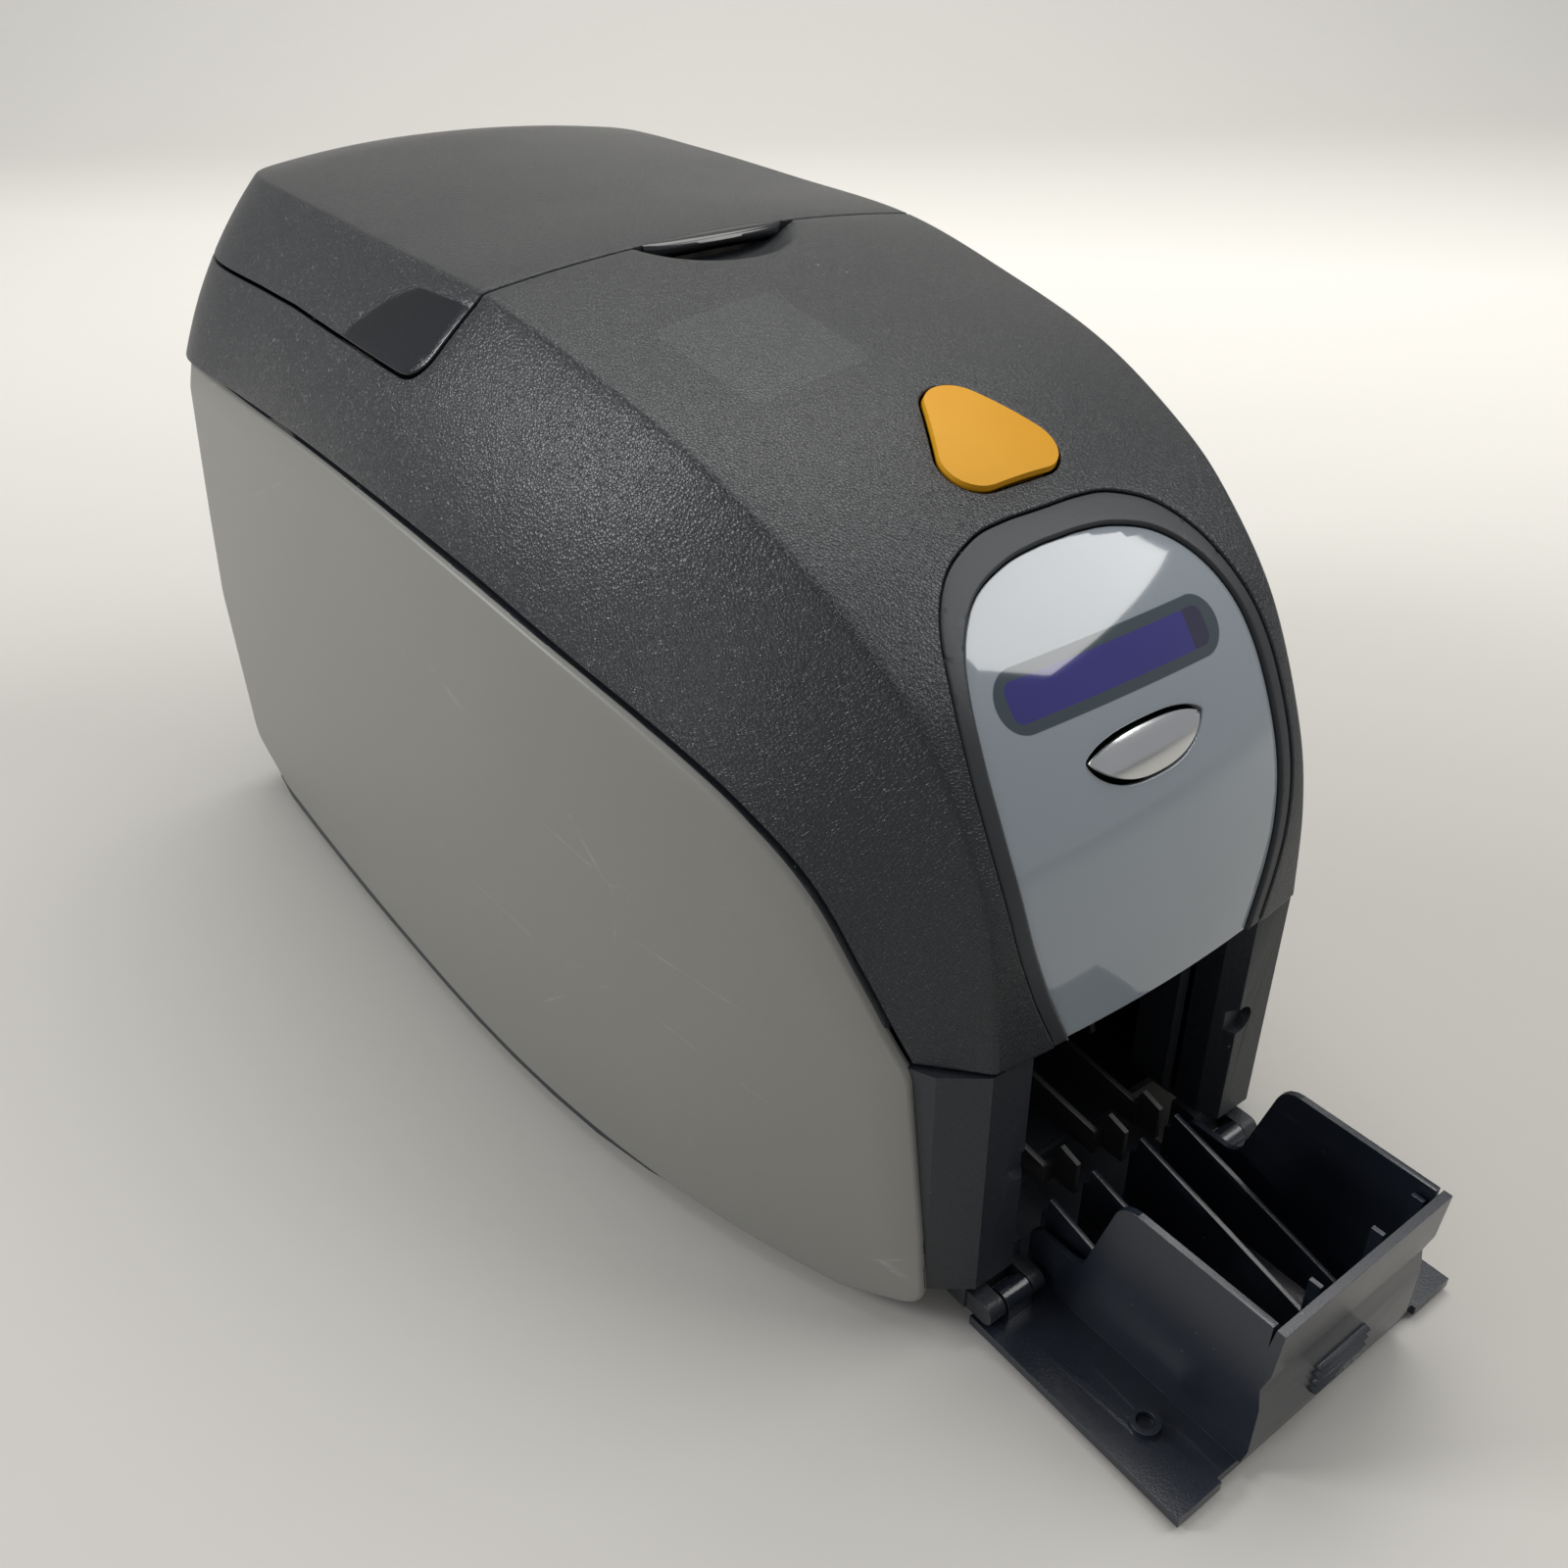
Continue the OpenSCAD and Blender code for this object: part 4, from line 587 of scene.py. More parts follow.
# Openings of the lid: the front panel's glass in front view as half width and z with the
# bezel's width round it, the release button in its own plane, and the finger dish.
GLASS_HALF = np.array([(30, 85), (33.4, 93), (36.4, 101), (39.6, 113), (41.4, 127), (42, 140),
                       (41.6, 151), (39.6, 160.8), (34.9, 168.8), (26.9, 174.6), (16.2, 177.7),
                       (6.5, 178.7), (0, 178.8)])
BEZEL_W, PANEL_GAP, PANEL_FOOT_Z, PANEL_TIP_Z = 4.3, 0.15, 84.5, 160
BUTTON_AT, BUTTON_TILT = np.array((0, -107.531, 194.315)), math.radians(24.622)
BUTTON_CORNERS, BUTTON_GAP = [(0, 24, 8), (21, -16, 8), (-21, -16, 8)], 0.75
DISH_AT, DISH_HALF = np.array((0, -5)), np.array((25.0, 23.5))
DISH_DEEP, DISH_REAR_Y = 5.6, -10.4


def smooth_line(points, gap):
    """Catmull-Rom curve through points, evenly stepped."""
    p = np.array(points, float)
    p = np.concatenate([2 * p[:1] - p[1:2], p, 2 * p[-1:] - p[-2:-1]])
    out = []
    for k in range(1, len(p) - 2):
        for t in np.linspace(0, 1, 12, endpoint=False):
            a, b, c, d = p[k - 1:k + 3]
            out.append((2 * b + (c - a) * t + (2 * a - 5 * b + 4 * c - d) * t ** 2
                        + (3 * b - a - 3 * c + d) * t ** 3) / 2)
    return evenly(np.array(out + [p[-2]]), gap)


def panel_line(grow):
    """Half outline of the front panel, from the front edge up to the middle, in (x, z)."""
    p = GLASS_HALF + np.stack([np.where(GLASS_HALF[:, 0] > 0, grow, 0),
                               np.clip((GLASS_HALF[:, 1] - PANEL_TIP_Z) / 18, 0, 1) * grow], 1)
    return smooth_line(p, 1.4)


def button_line(grow):
    """Half outline of the release button from its front to its rear, in its own plane."""
    out = ((0, 1.9), (1.5, -1), (-1.5, -1))
    line = rounded_line([(x + a * grow, y + b * grow, r + grow)
                         for (x, y, r), (a, b) in zip(BUTTON_CORNERS, out)], 10)
    line = np.concatenate([line, line[:1]])
    line = evenly(line, 0.25)
    half = line[line[:, 0] >= 0]
    half = half[np.argsort(np.arctan2(half[:, 1] + 2, half[:, 0]))]
    half = np.concatenate([[(0, half[0][1])], half, [(0, half[-1][1])]])
    return evenly(half, 1.0)


def on_lid(points, start, kind):
    """(q, s) of points given in front view, or in the release button's plane."""
    ey = np.array((0, math.cos(BUTTON_TILT), math.sin(BUTTON_TILT)))
    if kind == "front":
        residuals = [(lambda p, t=t: np.array((p[0] - t[0], p[2] - t[1]))) for t in points]
    else:
        residuals = [(lambda p, t=t: np.array((p[0] - t[0], (p - BUTTON_AT) @ ey - t[1])))
                     for t in points]
    return trace(lid_skin, start, residuals)


seam_line = cover_seam(-LID_GAP)
panel_uv = on_lid(panel_line(BEZEL_W + PANEL_GAP)[1:], (0.6, 13.8), "front")
button_uv = on_lid(button_line(BUTTON_GAP), (0.02, 9.2), "button")
foot_x = GLASS_HALF[0][0] + BEZEL_W + PANEL_GAP
panel_foot = trace(lid_skin, panel_uv[0],
                   [lambda p: np.array((p[0] - foot_x, p[2] - PANEL_FOOT_Z))])[0]
panel_foot[1] = FRONT_ROW
q_low = seam_line[-1][0]


def dish_drop(p):
    """Depth of the finger dish below the skin at a point; negative outside the dish."""
    far = (((p[:, :2] - DISH_AT) / DISH_HALF) ** 2).sum(1)
    return DISH_DEEP * (1 - far ** 1.7)


rim_points = []
for angle in np.linspace(-math.pi / 2, 0, 46):
    low_r, high_r = 2.0, 34.0
    for _ in range(40):
        mid = (low_r + high_r) / 2
        x, y = mid * math.cos(angle), DISH_AT[1] + mid * math.sin(angle)
        uv = trace(lid_skin, (min(0.6, x / 66), 5.7 + (-9 - y) / 43),
                   [lambda p: np.array((p[0] - x, p[1] - y))])
        if dish_drop(lid_skin(uv))[0] > 0:
            low_r = mid
        else:
            high_r = mid
    if y < DISH_REAR_Y:
        rim_points.append(uv[0])
rim_points = np.array(rim_points)
rim_points[0][0] = 0.0


def sink_dish(points):
    """Sinks the skin inside the dish's outline."""
    out = points.copy()
    drop = dish_drop(points)
    x, y, z = points.T
    hit = (drop > 0) & (y < -8) & (y > -40) & (np.abs(x) < 34) & (z > 205)
    out[hit, 2] -= drop[hit]
    return out


def closed_loop(*chains):
    """One loop from chains of (points, free edge inside the chain, free edge after it)."""
    loop, is_free = [], []
    for points, within, after in chains:
        loop += [tuple(p) for p in points]
        is_free += [within] * (len(points) - 1) + [after]
    return loop, is_free


def plastic_grain(name, colour, roughness, scale, depth, polished=None, label=None):
    """Leather-grained ABS: small flat cells with fine valleys painted darker as painted shade, a
    little dust and wear marks.
    """
    f = Finish(name, colour, roughness, Specular_IOR_Level=0.42)
    cells = f.cells(scale, "SMOOTH_F1")
    valley = f.cells(scale, "DISTANCE_TO_EDGE")
    pores = f.noise(scale * 2.6, 2, 0.6)
    smudge = f.noise(14, 4, 0.6)
    dust = f.cells(260).below(0.05, 0.02)
    rare = f.noise(45, 2).above(0.62, 0.04)
    height = valley.min(0.12) * 3.0 + cells * 0.7 + pores * 0.35
    tone = f.blend(smudge.above(0.52, 0.25) * 0.22, colour, tuple(c * 1.14 for c in colour))
    # Painted shade: the grain's valleys are painted darker.
    tone = f.blend(valley.below(0.06, 0.08) * 0.3, tone, [c * 0.6 for c in colour])
    tone = f.blend(dust * rare * 0.75, tone, (0.55, 0.55, 0.54))
    rough = roughness + (smudge - 0.5) * 0.16 + (pores - 0.5) * 0.12
    # A worn glossy patch has lower roughness and less grain, and its colour is painted near black
    # as a painted dark reflection.
    if polished:
        area = polished(f, smudge)
        tone = f.blend(area * 0.8, tone, (0.006, 0.007, 0.010))
        rough = rough * (1 - area) + area * (0.13 + smudge.above(0.56, 0.1) * 0.22)
        height = height * (1 - area * 0.9)
    if label:
        tone = f.blend(label(f) * 0.16, tone, (0.10, 0.105, 0.11))
    f.put(Base_Color=tone, Roughness=rough, Normal=f.bump(height, depth))
    return f.mat


def label_trace(f):
    """The outline of a square label that once sat on the lid: a faintly paler patch."""
    x, y, z = f.xyz()
    half, corner, turned_cos, turned_sin = 0.0145, 0.003, 0.996, 0.087
    across = (x + 0.025) * turned_cos + (y + 0.064) * turned_sin
    along = (y + 0.064) * turned_cos - (x + 0.025) * turned_sin
    out_x, out_y = (across.abs() - half).max(0.0), (along.abs() - half).max(0.0)
    return (out_x * out_x + out_y * out_y).sqrt().below(corner, 0.0005) * z.above(0.19, 0.002)


CHARCOAL, GRAIN_SCALE, GRAIN_DEPTH = (0.0135, 0.0160, 0.0195), 1300, 0.00016
charcoal = plastic_grain("charcoal_grain", CHARCOAL, 0.29, GRAIN_SCALE, GRAIN_DEPTH,
                         label=label_trace)

seam_row = seam_line[np.abs(seam_line[:, 0] - 1) < 0.06][:, 1]
lid_loop, lid_free = closed_loop(
    ([(0, s) for s in np.linspace(seam_line[0][1], button_uv[-1][1], 50)[1:-1]], False, False),
    (button_uv[::-1], True, False),
    ([(0, s) for s in np.linspace(button_uv[0][1], panel_uv[-1][1], 9)[1:-1]], False, False),
    (panel_uv[::-1], True, True),
    ([panel_foot], True, True),
    ([(q, FRONT_ROW) for q in np.linspace(panel_foot[0], 2, 26)[1:]], True, True),
    ([(2, s) for s in np.linspace(FRONT_ROW, 0, 240)[1:]], True, True),
    ([(2, s) for s in np.linspace(0, -1, 10)[1:]], True, False),
    ([(q, -1) for q in np.linspace(2, q_low, 20)[1:-1]], False, False),
    (seam_line[::-1], True, False))
kept_lines = (rim_points, *crease_lines(seam_row.max() + 0.07, FRONT_ROW - 0.05))
points, faces, _, _ = mesh_skin(lid_skin, lid_loop, lid_free, LID_WALL, LID_EDGE, LID_PITCH,
                                flat_lid, (sink_dish,), kept_lines)
points, faces = both_halves(points, faces)


def lug(x0, x1, y, z, radius, drop, lean):
    """A hinge lug: a plate rounded about the pin, with a web running up into the wall."""
    pts, fcs = [], []
    ring = [(radius * math.cos(t), radius * math.sin(t)) for t in np.linspace(-math.pi, 0, 17)]
    ring += [(radius + lean, drop), (-radius + lean, drop)]
    n = len(ring)
    for x in (x0, x1):
        pts += [(x, y + a, z + b) for a, b in ring]
    fcs += [tuple(range(n))[::-1], tuple(range(n, 2 * n))]
    fcs += [(k, (k + 1) % n, (k + 1) % n + n, k + n) for k in range(n)]
    return np.array(pts), fcs


def joined(*meshes):
    """Several point and face lists as one."""
    pts, fcs, n = [], [], 0
    for p, f in meshes:
        pts.append(p)
        fcs += [tuple(v + n for v in face) for face in f]
        n += len(p)
    return np.concatenate(pts), fcs


LID_PIN, COVER_PIN = (178, 169.7), (183.5, 199.5)
lid_lugs = [lug(a, b, *LID_PIN, 3.2, 9, -2) for a, b in ((32.1, 43.9), (-43.9, -32.1))]
lid_lugs += [lug(a, b, *COVER_PIN, 3, -8, -1.0)
             for a, b in ((18, 23.8), (34.2, 40), (-23.8, -18), (-40, -34.2))]
points, faces = joined((points, faces), *lid_lugs)
lid_piece = build("lid_casing", points, faces, charcoal, "lid")
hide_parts("lid_shell")

# ---------------------------------------------------------------- card feeder cover
# The rear cover over the card stack is the same grained ABS and carries on the lid's lines.
# It hangs on two pins at the rear; its front lip overhangs a finger dish in the lid.

rear_q = flank_end(0.0)
behind = cover_seam(LID_GAP)
MIDDLE_STEPS, REAR_STEPS = 70, 16
top_rear = [(q, 0.0) for q in np.linspace(0, rear_q, REAR_STEPS + 1)]
strip_top = [(rear_q, s) for s in np.linspace(0, -1, REAR_STEPS + 1)]
cover_loop, cover_free = closed_loop(
    ([(0, s) for s in np.linspace(behind[0][1], 0, MIDDLE_STEPS)[1:-1]], False, False),
    (top_rear, False, False),
    (strip_top[1:], False, False),
    ([(q, -1) for q in np.linspace(rear_q, behind[-1][0], 14)[1:-1]], False, False),
    (behind[::-1], True, False))
behind_row = behind[np.abs(behind[:, 0] - 1) < 0.06][:, 1]
points, faces, at_loop, skin_count = mesh_skin(
    lid_skin, cover_loop, cover_free, LID_WALL, LID_EDGE, LID_PITCH, flat_lid, (),
    crease_lines(0.12, behind_row.min() - 0.07))
first = MIDDLE_STEPS - 2
top_ids = at_loop[first:first + REAR_STEPS + 1]
strip_ids = at_loop[first + REAR_STEPS:first + 2 * REAR_STEPS + 1]
for k in range(REAR_STEPS):
    a, b = top_ids[REAR_STEPS - k], top_ids[REAR_STEPS - k - 1]
    c, d = strip_ids[k + 1], strip_ids[k]
    faces += [(a, b, c, d), tuple(v + skin_count for v in (d, c, b, a))]
points, faces = both_halves(points, faces)
cover_lugs = [lug(a, b, *COVER_PIN, 3, 9, 0) for a, b in ((24.2, 33.8), (-33.8, -24.2))]
points, faces = joined((points, faces), *cover_lugs)


def glossy_flank_and_painted_shade(f, smudge):
    """Where hands lift the cover, the grain of its flanks is worn to a gloss; the same patch is
    painted near black, a painted dark reflection.
    """
    x, y, z = f.xyz()
    slanted = y + (z - 0.197) * 1.9 + (smudge - 0.5) * 0.03
    return slanted.below(0.046, 0.007) * z.below(0.2125, 0.001)


cover_grain = plastic_grain("cover_grain", CHARCOAL, 0.31, GRAIN_SCALE, GRAIN_DEPTH,
                            polished=glossy_flank_and_painted_shade)
cover_piece = build("card_cover", points, faces, cover_grain, "feeder_cover")
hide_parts("feeder_cover")

# The cover's front lip is a glossy bead that swells forward over the finger dish. Its section
# is given as a share of the swell (or millimetres behind the lip) and millimetres of depth.
LIP_BLACK = (0.012, 0.013, 0.015)
gloss_black = Finish("gloss_black", LIP_BLACK, 0.14, Coat_Weight=0.25, Coat_Roughness=0.06)
rubs = gloss_black.noise(60, 4, 0.65)
gloss_black.put(Roughness=0.12 + rubs * 0.14,
                Base_Color=gloss_black.blend(rubs.above(0.6, 0.2) * 0.3, LIP_BLACK,
                                             (0.03, 0.031, 0.033)),
                Normal=gloss_black.bump(rubs, 0.00004))
LIP_HALF, LIP_OUT, LIP_DEEP, LIP_Y, LIP_STEPS = 21.0, 4.0, 4.6, -9.05, 40
lip_rows = []
lip_section = [(0.9, 0.1), (0.0, 0.06), (-0.35, 0.12), (-0.7, 0.42), (-0.92, 0.95), (-1.0, 1.6),
               (-0.9, 2.4), (-0.55, 3.4), (0.0, LIP_DEEP), (0.9, LIP_DEEP)]
for f in np.linspace(-1, 1, LIP_STEPS + 1):
    x = LIP_HALF * f
    out = LIP_OUT * max(0.02, 1 - f * f) ** 0.5
    uv = trace(lid_skin, (abs(x) / 66, 6.0), [lambda p: np.array((p[0] - abs(x), p[1] + 9.3))])
    z = lid_skin(uv)[0][2]
    lip_rows.append([(x, LIP_Y + (a * out if a < 0 else a), z - b) for a, b in lip_section])
points = np.array(lip_rows).reshape(-1, 3)
n = len(lip_section)
faces = [(k * n + j, k * n + (j + 1) % n, (k + 1) * n + (j + 1) % n, (k + 1) * n + j)
         for k in range(LIP_STEPS) for j in range(n)]
faces += [tuple(range(n))[::-1], tuple(range(LIP_STEPS * n, (LIP_STEPS + 1) * n))]
lip_piece = build("cover_lip", points, faces, gloss_black.mat, "feeder_cover", sharp=50,
                  orient=True)

# ---------------------------------------------------------------- front panel
# A curved polycarbonate window, printed blue-grey on its back with a clear slot over the
# display, sits in a satin bezel that follows the lid's curve. Both are pressed in from behind.


def sunk(depth):
    """The lid skin moved inwards by depth."""
    return lambda uv: lid_skin(uv) - surface_frame(lid_skin, uv)[2] * depth


def panel_loop(grow):
    """The panel's half outline in (q, s), from its foot to the middle of its top."""
    low_z = 84.75
    line = [(GLASS_HALF[0][0] + grow, low_z)]
    line += [tuple(p) for p in panel_line(grow) if p[1] > low_z + 0.7]
    return on_lid(line, (0.6, 13.95), "front")


satin_dark = Finish("bezel_satin", (0.024, 0.027, 0.031), 0.42, Specular_IOR_Level=0.35)
fine = satin_dark.noise(900, 2, 0.5)
haze = satin_dark.noise(22, 3, 0.5)
satin_dark.put(Base_Color=satin_dark.blend(haze.above(0.5, 0.3) * 0.3, (0.022, 0.025, 0.029),
                                           (0.034, 0.037, 0.041)),
               Roughness=0.38 + haze * 0.1, Normal=satin_dark.bump(fine, 0.00003))

outer_line, inner_line = panel_loop(BEZEL_W), panel_loop(0.12)
ring_loop, ring_free = closed_loop(
    (outer_line, True, False),
    ([(0, s) for s in np.linspace(outer_line[-1][1], inner_line[-1][1], 4)[1:-1]], False, False),
    (inner_line[::-1], True, True),
    ([(q, inner_line[0][1]) for q in np.linspace(inner_line[0][0], outer_line[0][0], 5)[1:-1]],
     True, True))
BEZEL_SINK, BEZEL_WALL, BEZEL_EDGE, BEZEL_PITCH = 0.35, 3.4, 0.75, 1.6
points, faces, _, _ = mesh_skin(sunk(BEZEL_SINK), ring_loop, ring_free, BEZEL_WALL, BEZEL_EDGE,
                                BEZEL_PITCH, flat_lid)
points, faces = both_halves(points, faces)
bezel_piece = build("panel_bezel_ring", points, faces, satin_dark.mat, "lid", sharp=50)
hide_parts("panel_bezel")

LEAF_AT, LEAF_TILT = np.array((-0.8, -164.4, 142.0)), math.radians(62.9)
LEAF_HALF, LEAF_TIP, LEAF_LOW, LEAF_HIGH, LEAF_GAP = 17.2, 1.5, 7.9, 3.1, 0.95


def leaf_line(grow, even=False):
    """Outline of the leaf-shaped control button, deeper below its tips than above them.

    It is pointed at the left and blunt at the right, or blunt at both ends when even."""
    f = np.sin(np.linspace(-math.pi / 2, math.pi / 2, 41))
    blunt, pointed = (1 - np.abs(f) ** 2.6) ** 0.7, (1 - np.abs(f) ** 2.2) ** 0.85
    full = blunt if even else np.where(f > 0, blunt, pointed)
    x = (LEAF_HALF + grow) * f
    low = np.stack([x, LEAF_TIP - (LEAF_LOW + grow) * full], 1)
    high = np.stack([x, LEAF_TIP + (LEAF_HIGH + grow) * full + 0.02], 1)
    return np.concatenate([low, high[::-1]])


def in_frame(at, tilt, points):
    """Points given in a tilted frame on the lid, in the printer's own frame."""
    p = np.atleast_2d(points)
    c, s = math.cos(tilt), math.sin(tilt)
    return at + np.stack([p[:, 0], p[:, 1] * c - p[:, 2] * s, p[:, 1] * s + p[:, 2] * c], 1)


hole = leaf_line(LEAF_GAP, even=True)
hole = hole[hole[:, 0] >= -1e-9]
hole = hole[np.argsort(np.arctan2(hole[:, 1], hole[:, 0]))]
leaf_up = np.array((0, math.cos(LEAF_TILT), math.sin(LEAF_TILT)))
hole_uv = trace(lid_skin, (0.02, 11.8),
                [(lambda p, t=t: np.array((p[0] - t[0], (p - LEAF_AT) @ leaf_up - t[1])))
                 for t in hole])
glass_line = panel_loop(-0.06)
s_foot = glass_line[0][1]
glass_loop, glass_free = closed_loop(
    ([(q, s_foot) for q in np.linspace(0, glass_line[0][0], 22)[:-1]], True, True),
    (glass_line, True, False),
    ([(0, s) for s in np.linspace(glass_line[-1][1], hole_uv[-1][1], 16)[1:-1]], False, False),
    (hole_uv[::-1], True, False),
    ([(0, s) for s in np.linspace(hole_uv[0][1], s_foot, 24)[1:-1]], False, False))
GLASS_SINK, GLASS_WALL, GLASS_EDGE, GLASS_PITCH = 1.4, 2.0, 0.35, 2.2
points, faces, _, _ = mesh_skin(sunk(GLASS_SINK), glass_loop, glass_free, GLASS_WALL, GLASS_EDGE,
                                GLASS_PITCH, flat_lid)
points, faces = both_halves(points, faces)

lens = Finish("printed_window", (0.16, 0.20, 0.25), 0.07, Coat_Weight=0.6, Coat_Roughness=0.03)
x, y, z = lens.xyz()
GLASS_UP_Y, GLASS_UP_Z, PRINT_EDGE = 0.36, 0.933, 0.00025
LCD_X, LCD_Y, LCD_Z, LCD_FRAME_W, LCD_FRAME_H = -0.0017, -0.1545, 0.1576, 0.0332, 0.0069
WINDOW_X, WINDOW_W, WINDOW_H, WINDOW_CORNER = -0.0022, 0.0270, 0.0019, 0.0025
rise = (y * GLASS_UP_Y + z * GLASS_UP_Z) - (LCD_Y * GLASS_UP_Y + LCD_Z * GLASS_UP_Z)
across = x - LCD_X
straight = (across.abs() - (LCD_FRAME_W - LCD_FRAME_H)).max(0.0)
slot_edge = (straight * straight + rise * rise).sqrt()
frame_mask = slot_edge.below(LCD_FRAME_H, PRINT_EDGE)
across_w = ((x - WINDOW_X).abs() - WINDOW_W).max(0.0)
rise_w = (rise.abs() - WINDOW_H).max(0.0)
window = (across_w * across_w + rise_w * rise_w).sqrt().below(WINDOW_CORNER, PRINT_EDGE)
mottle = lens.noise(30, 3, 0.5)
# Painted light: the window's tone is painted lighter towards the bottom and darker towards the top.
tone = lens.blend((z - 0.085) * 8.0, (0.25, 0.28, 0.305), (0.19, 0.22, 0.245))
tone = lens.blend(frame_mask, tone, (0.028, 0.045, 0.055))
indigo = lens.blend(mottle, (0.012, 0.010, 0.10), (0.03, 0.026, 0.20))
# Painted shade: the right end of the display window is painted near black.
display_painted_shade = (x - 0.0215).above(0.0, 0.0004)
indigo = lens.blend(display_painted_shade * 0.85, indigo, (0.012, 0.012, 0.02))
tone = lens.blend(window, tone, indigo)
lens.put(Base_Color=tone, Roughness=0.05 + mottle * 0.05, Normal=lens.bump(mottle, 0.00003))
glass_piece = build("window_panel", points, faces, lens.mat, "lid", sharp=50)
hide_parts("front_panel")

# ---------------------------------------------------------------- control button and release button
# The control button is a leaf of bright chromed ABS. The release button is a moulded
# amber plectrum with rounded edges; each stands in a narrow gap and springs back.


CAP_STEPS = 6


def button_cap(name, at, tilt, outline, top, edge, depth, finish, body):
    """A button: a crowned face that rolls over a rounded edge into straight sides."""
    n = len(outline)
    rings = []
    centre = outline.mean(0)
    back_dir = np.roll(outline, -1, 0) - np.roll(outline, 1, 0)
    normal_in = unit(np.stack([-back_dir[:, 1], back_dir[:, 0]], 1))
    if np.mean(np.einsum("ij,ij->i", normal_in, centre - outline)) < 0:
        normal_in = -normal_in
    for k in range(CAP_STEPS + 1):
        turn = math.pi / 2 * k / CAP_STEPS
        inset = edge * (1 - math.sin(turn))
        rings.append((outline + normal_in * inset, edge * (1 - math.cos(turn))))
    rings.reverse()
    start = rings[0][0]
    face_rings = [(centre + (start - centre) * f, 0.0) for f in (0.25, 0.5, 0.75, 0.9, 0.985)]
    points = []
    for p, drop in face_rings + rings:
        points.append(np.stack([p[:, 0], p[:, 1], top(p) - drop], 1))
    p, drop = rings[-1]
    points.append(np.stack([p[:, 0], p[:, 1], top(p) - drop - depth], 1))
    rows = len(points)
    tip = np.array([[centre[0], centre[1], top(centre[None])[0]]])
    local = np.concatenate(points + [tip])
    faces = [(r * n + k, r * n + (k + 1) % n, (r + 1) * n + (k + 1) % n, (r + 1) * n + k)
             for r in range(rows - 1) for k in range(n)]
    faces += [(rows * n, (k + 1) % n, k) for k in range(n)]
    faces += [tuple((rows - 1) * n + k for k in range(n))[::-1]]
    return build(name, in_frame(at, tilt, local), faces, finish, body, sharp=60, orient=True)


chrome = Finish("bright_chrome", (0.62, 0.63, 0.63), 0.12, 1.0)
fine = chrome.noise(400, 3, 0.5)
wear = chrome.noise(35, 3, 0.5)
chrome.put(Roughness=0.1 + wear * 0.1,
           Base_Color=chrome.blend(wear.above(0.55, 0.3) * 0.4, (0.66, 0.67, 0.67),
                                   (0.5, 0.51, 0.52)),
           Normal=chrome.bump(fine, 0.00001))


def leaf_crown(p):
    """The leaf's face bulges 1.5 mm, more sharply above its tips than below them."""
    high, low = np.maximum(p[:, 1], 0), np.minimum(p[:, 1], 0)
    return 1.5 - (p[:, 0] ** 2) / 240 - high ** 2 / 26 - low ** 2 / 40


def release_crown(p):
    """The amber button's face is part of a sphere of 80 mm radius, flattened a little."""
    return -78.9 + np.sqrt(6400 - p[:, 0] ** 2 * 0.8 - (p[:, 1] + 3) ** 2 * 0.8) + 0.6


leaf_edge = evenly(np.concatenate([leaf_line(0), leaf_line(0)[:1]]), 0.7)[:-1]
leaf_piece = button_cap("control_leaf", LEAF_AT, LEAF_TILT, leaf_edge, leaf_crown, 0.55, 4.5,
                        chrome.mat, "control_button")
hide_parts("control_button")

amber = Finish("amber_satin", (0.56, 0.265, 0.008), 0.46, Specular_IOR_Level=0.2)
grain = amber.noise(1500, 2, 0.6)
worn = amber.noise(55, 3, 0.55)
amber.put(Base_Color=amber.blend(worn.above(0.5, 0.4) * 0.4, (0.55, 0.26, 0.007),
                                 (0.61, 0.30, 0.014)),
          Roughness=0.44 + worn * 0.1, Normal=amber.bump(grain, 0.00004))
plectrum = rounded_line(BUTTON_CORNERS, 14)
plectrum = evenly(np.concatenate([plectrum, plectrum[:1]]), 1.0)[:-1]
amber_piece = button_cap("release_cap", BUTTON_AT, BUTTON_TILT, plectrum, release_crown, 1.5, 4.6,
                         amber.mat, "release_button")
STEM_R, STEM_TOP, STEM_FOOT, STEM_SIDES = 2.5, -4.0, -17.0, 24
stem_points = []
for level in (STEM_TOP, STEM_FOOT):
    stem_points += [(STEM_R * math.cos(t), STEM_R * math.sin(t), level)
                    for t in np.linspace(0, 2 * math.pi, STEM_SIDES + 1)[:-1]]
stem_faces = [(k, (k + 1) % STEM_SIDES, (k + 1) % STEM_SIDES + STEM_SIDES, k + STEM_SIDES)
              for k in range(STEM_SIDES)]
stem_faces += [tuple(range(STEM_SIDES)), tuple(range(STEM_SIDES, 2 * STEM_SIDES))]
stem_piece = build("release_stem", in_frame(BUTTON_AT, BUTTON_TILT, np.array(stem_points)),
                   stem_faces, amber.mat, "release_button", orient=True)
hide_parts("release_button")

# ---------------------------------------------------------------- side panels
# Two flat-cheeked grey ABS covers clip on below the lid. Their edges are rounded, and a
# band about 9 mm wide along the top and front turns in slightly towards the casing.

PANEL_WALL, PANEL_EDGE, PANEL_PITCH, PANEL_SINK = 2.25, 1.3, 2.8, 0.35
BAND_W, BAND_TURN, SWELL = 9.0, 1.5, 0.35


def panel_half_w(y):
    """Half width of the body at y: bullet-shaped towards the front."""
    front = 36 * np.abs((40 - np.minimum(y, 40)) / 210) ** 2.8
    rear = 2 * (np.maximum(y - 40, 0) / 105) ** 2
    return 97 - np.where(y < 40, front, rear)


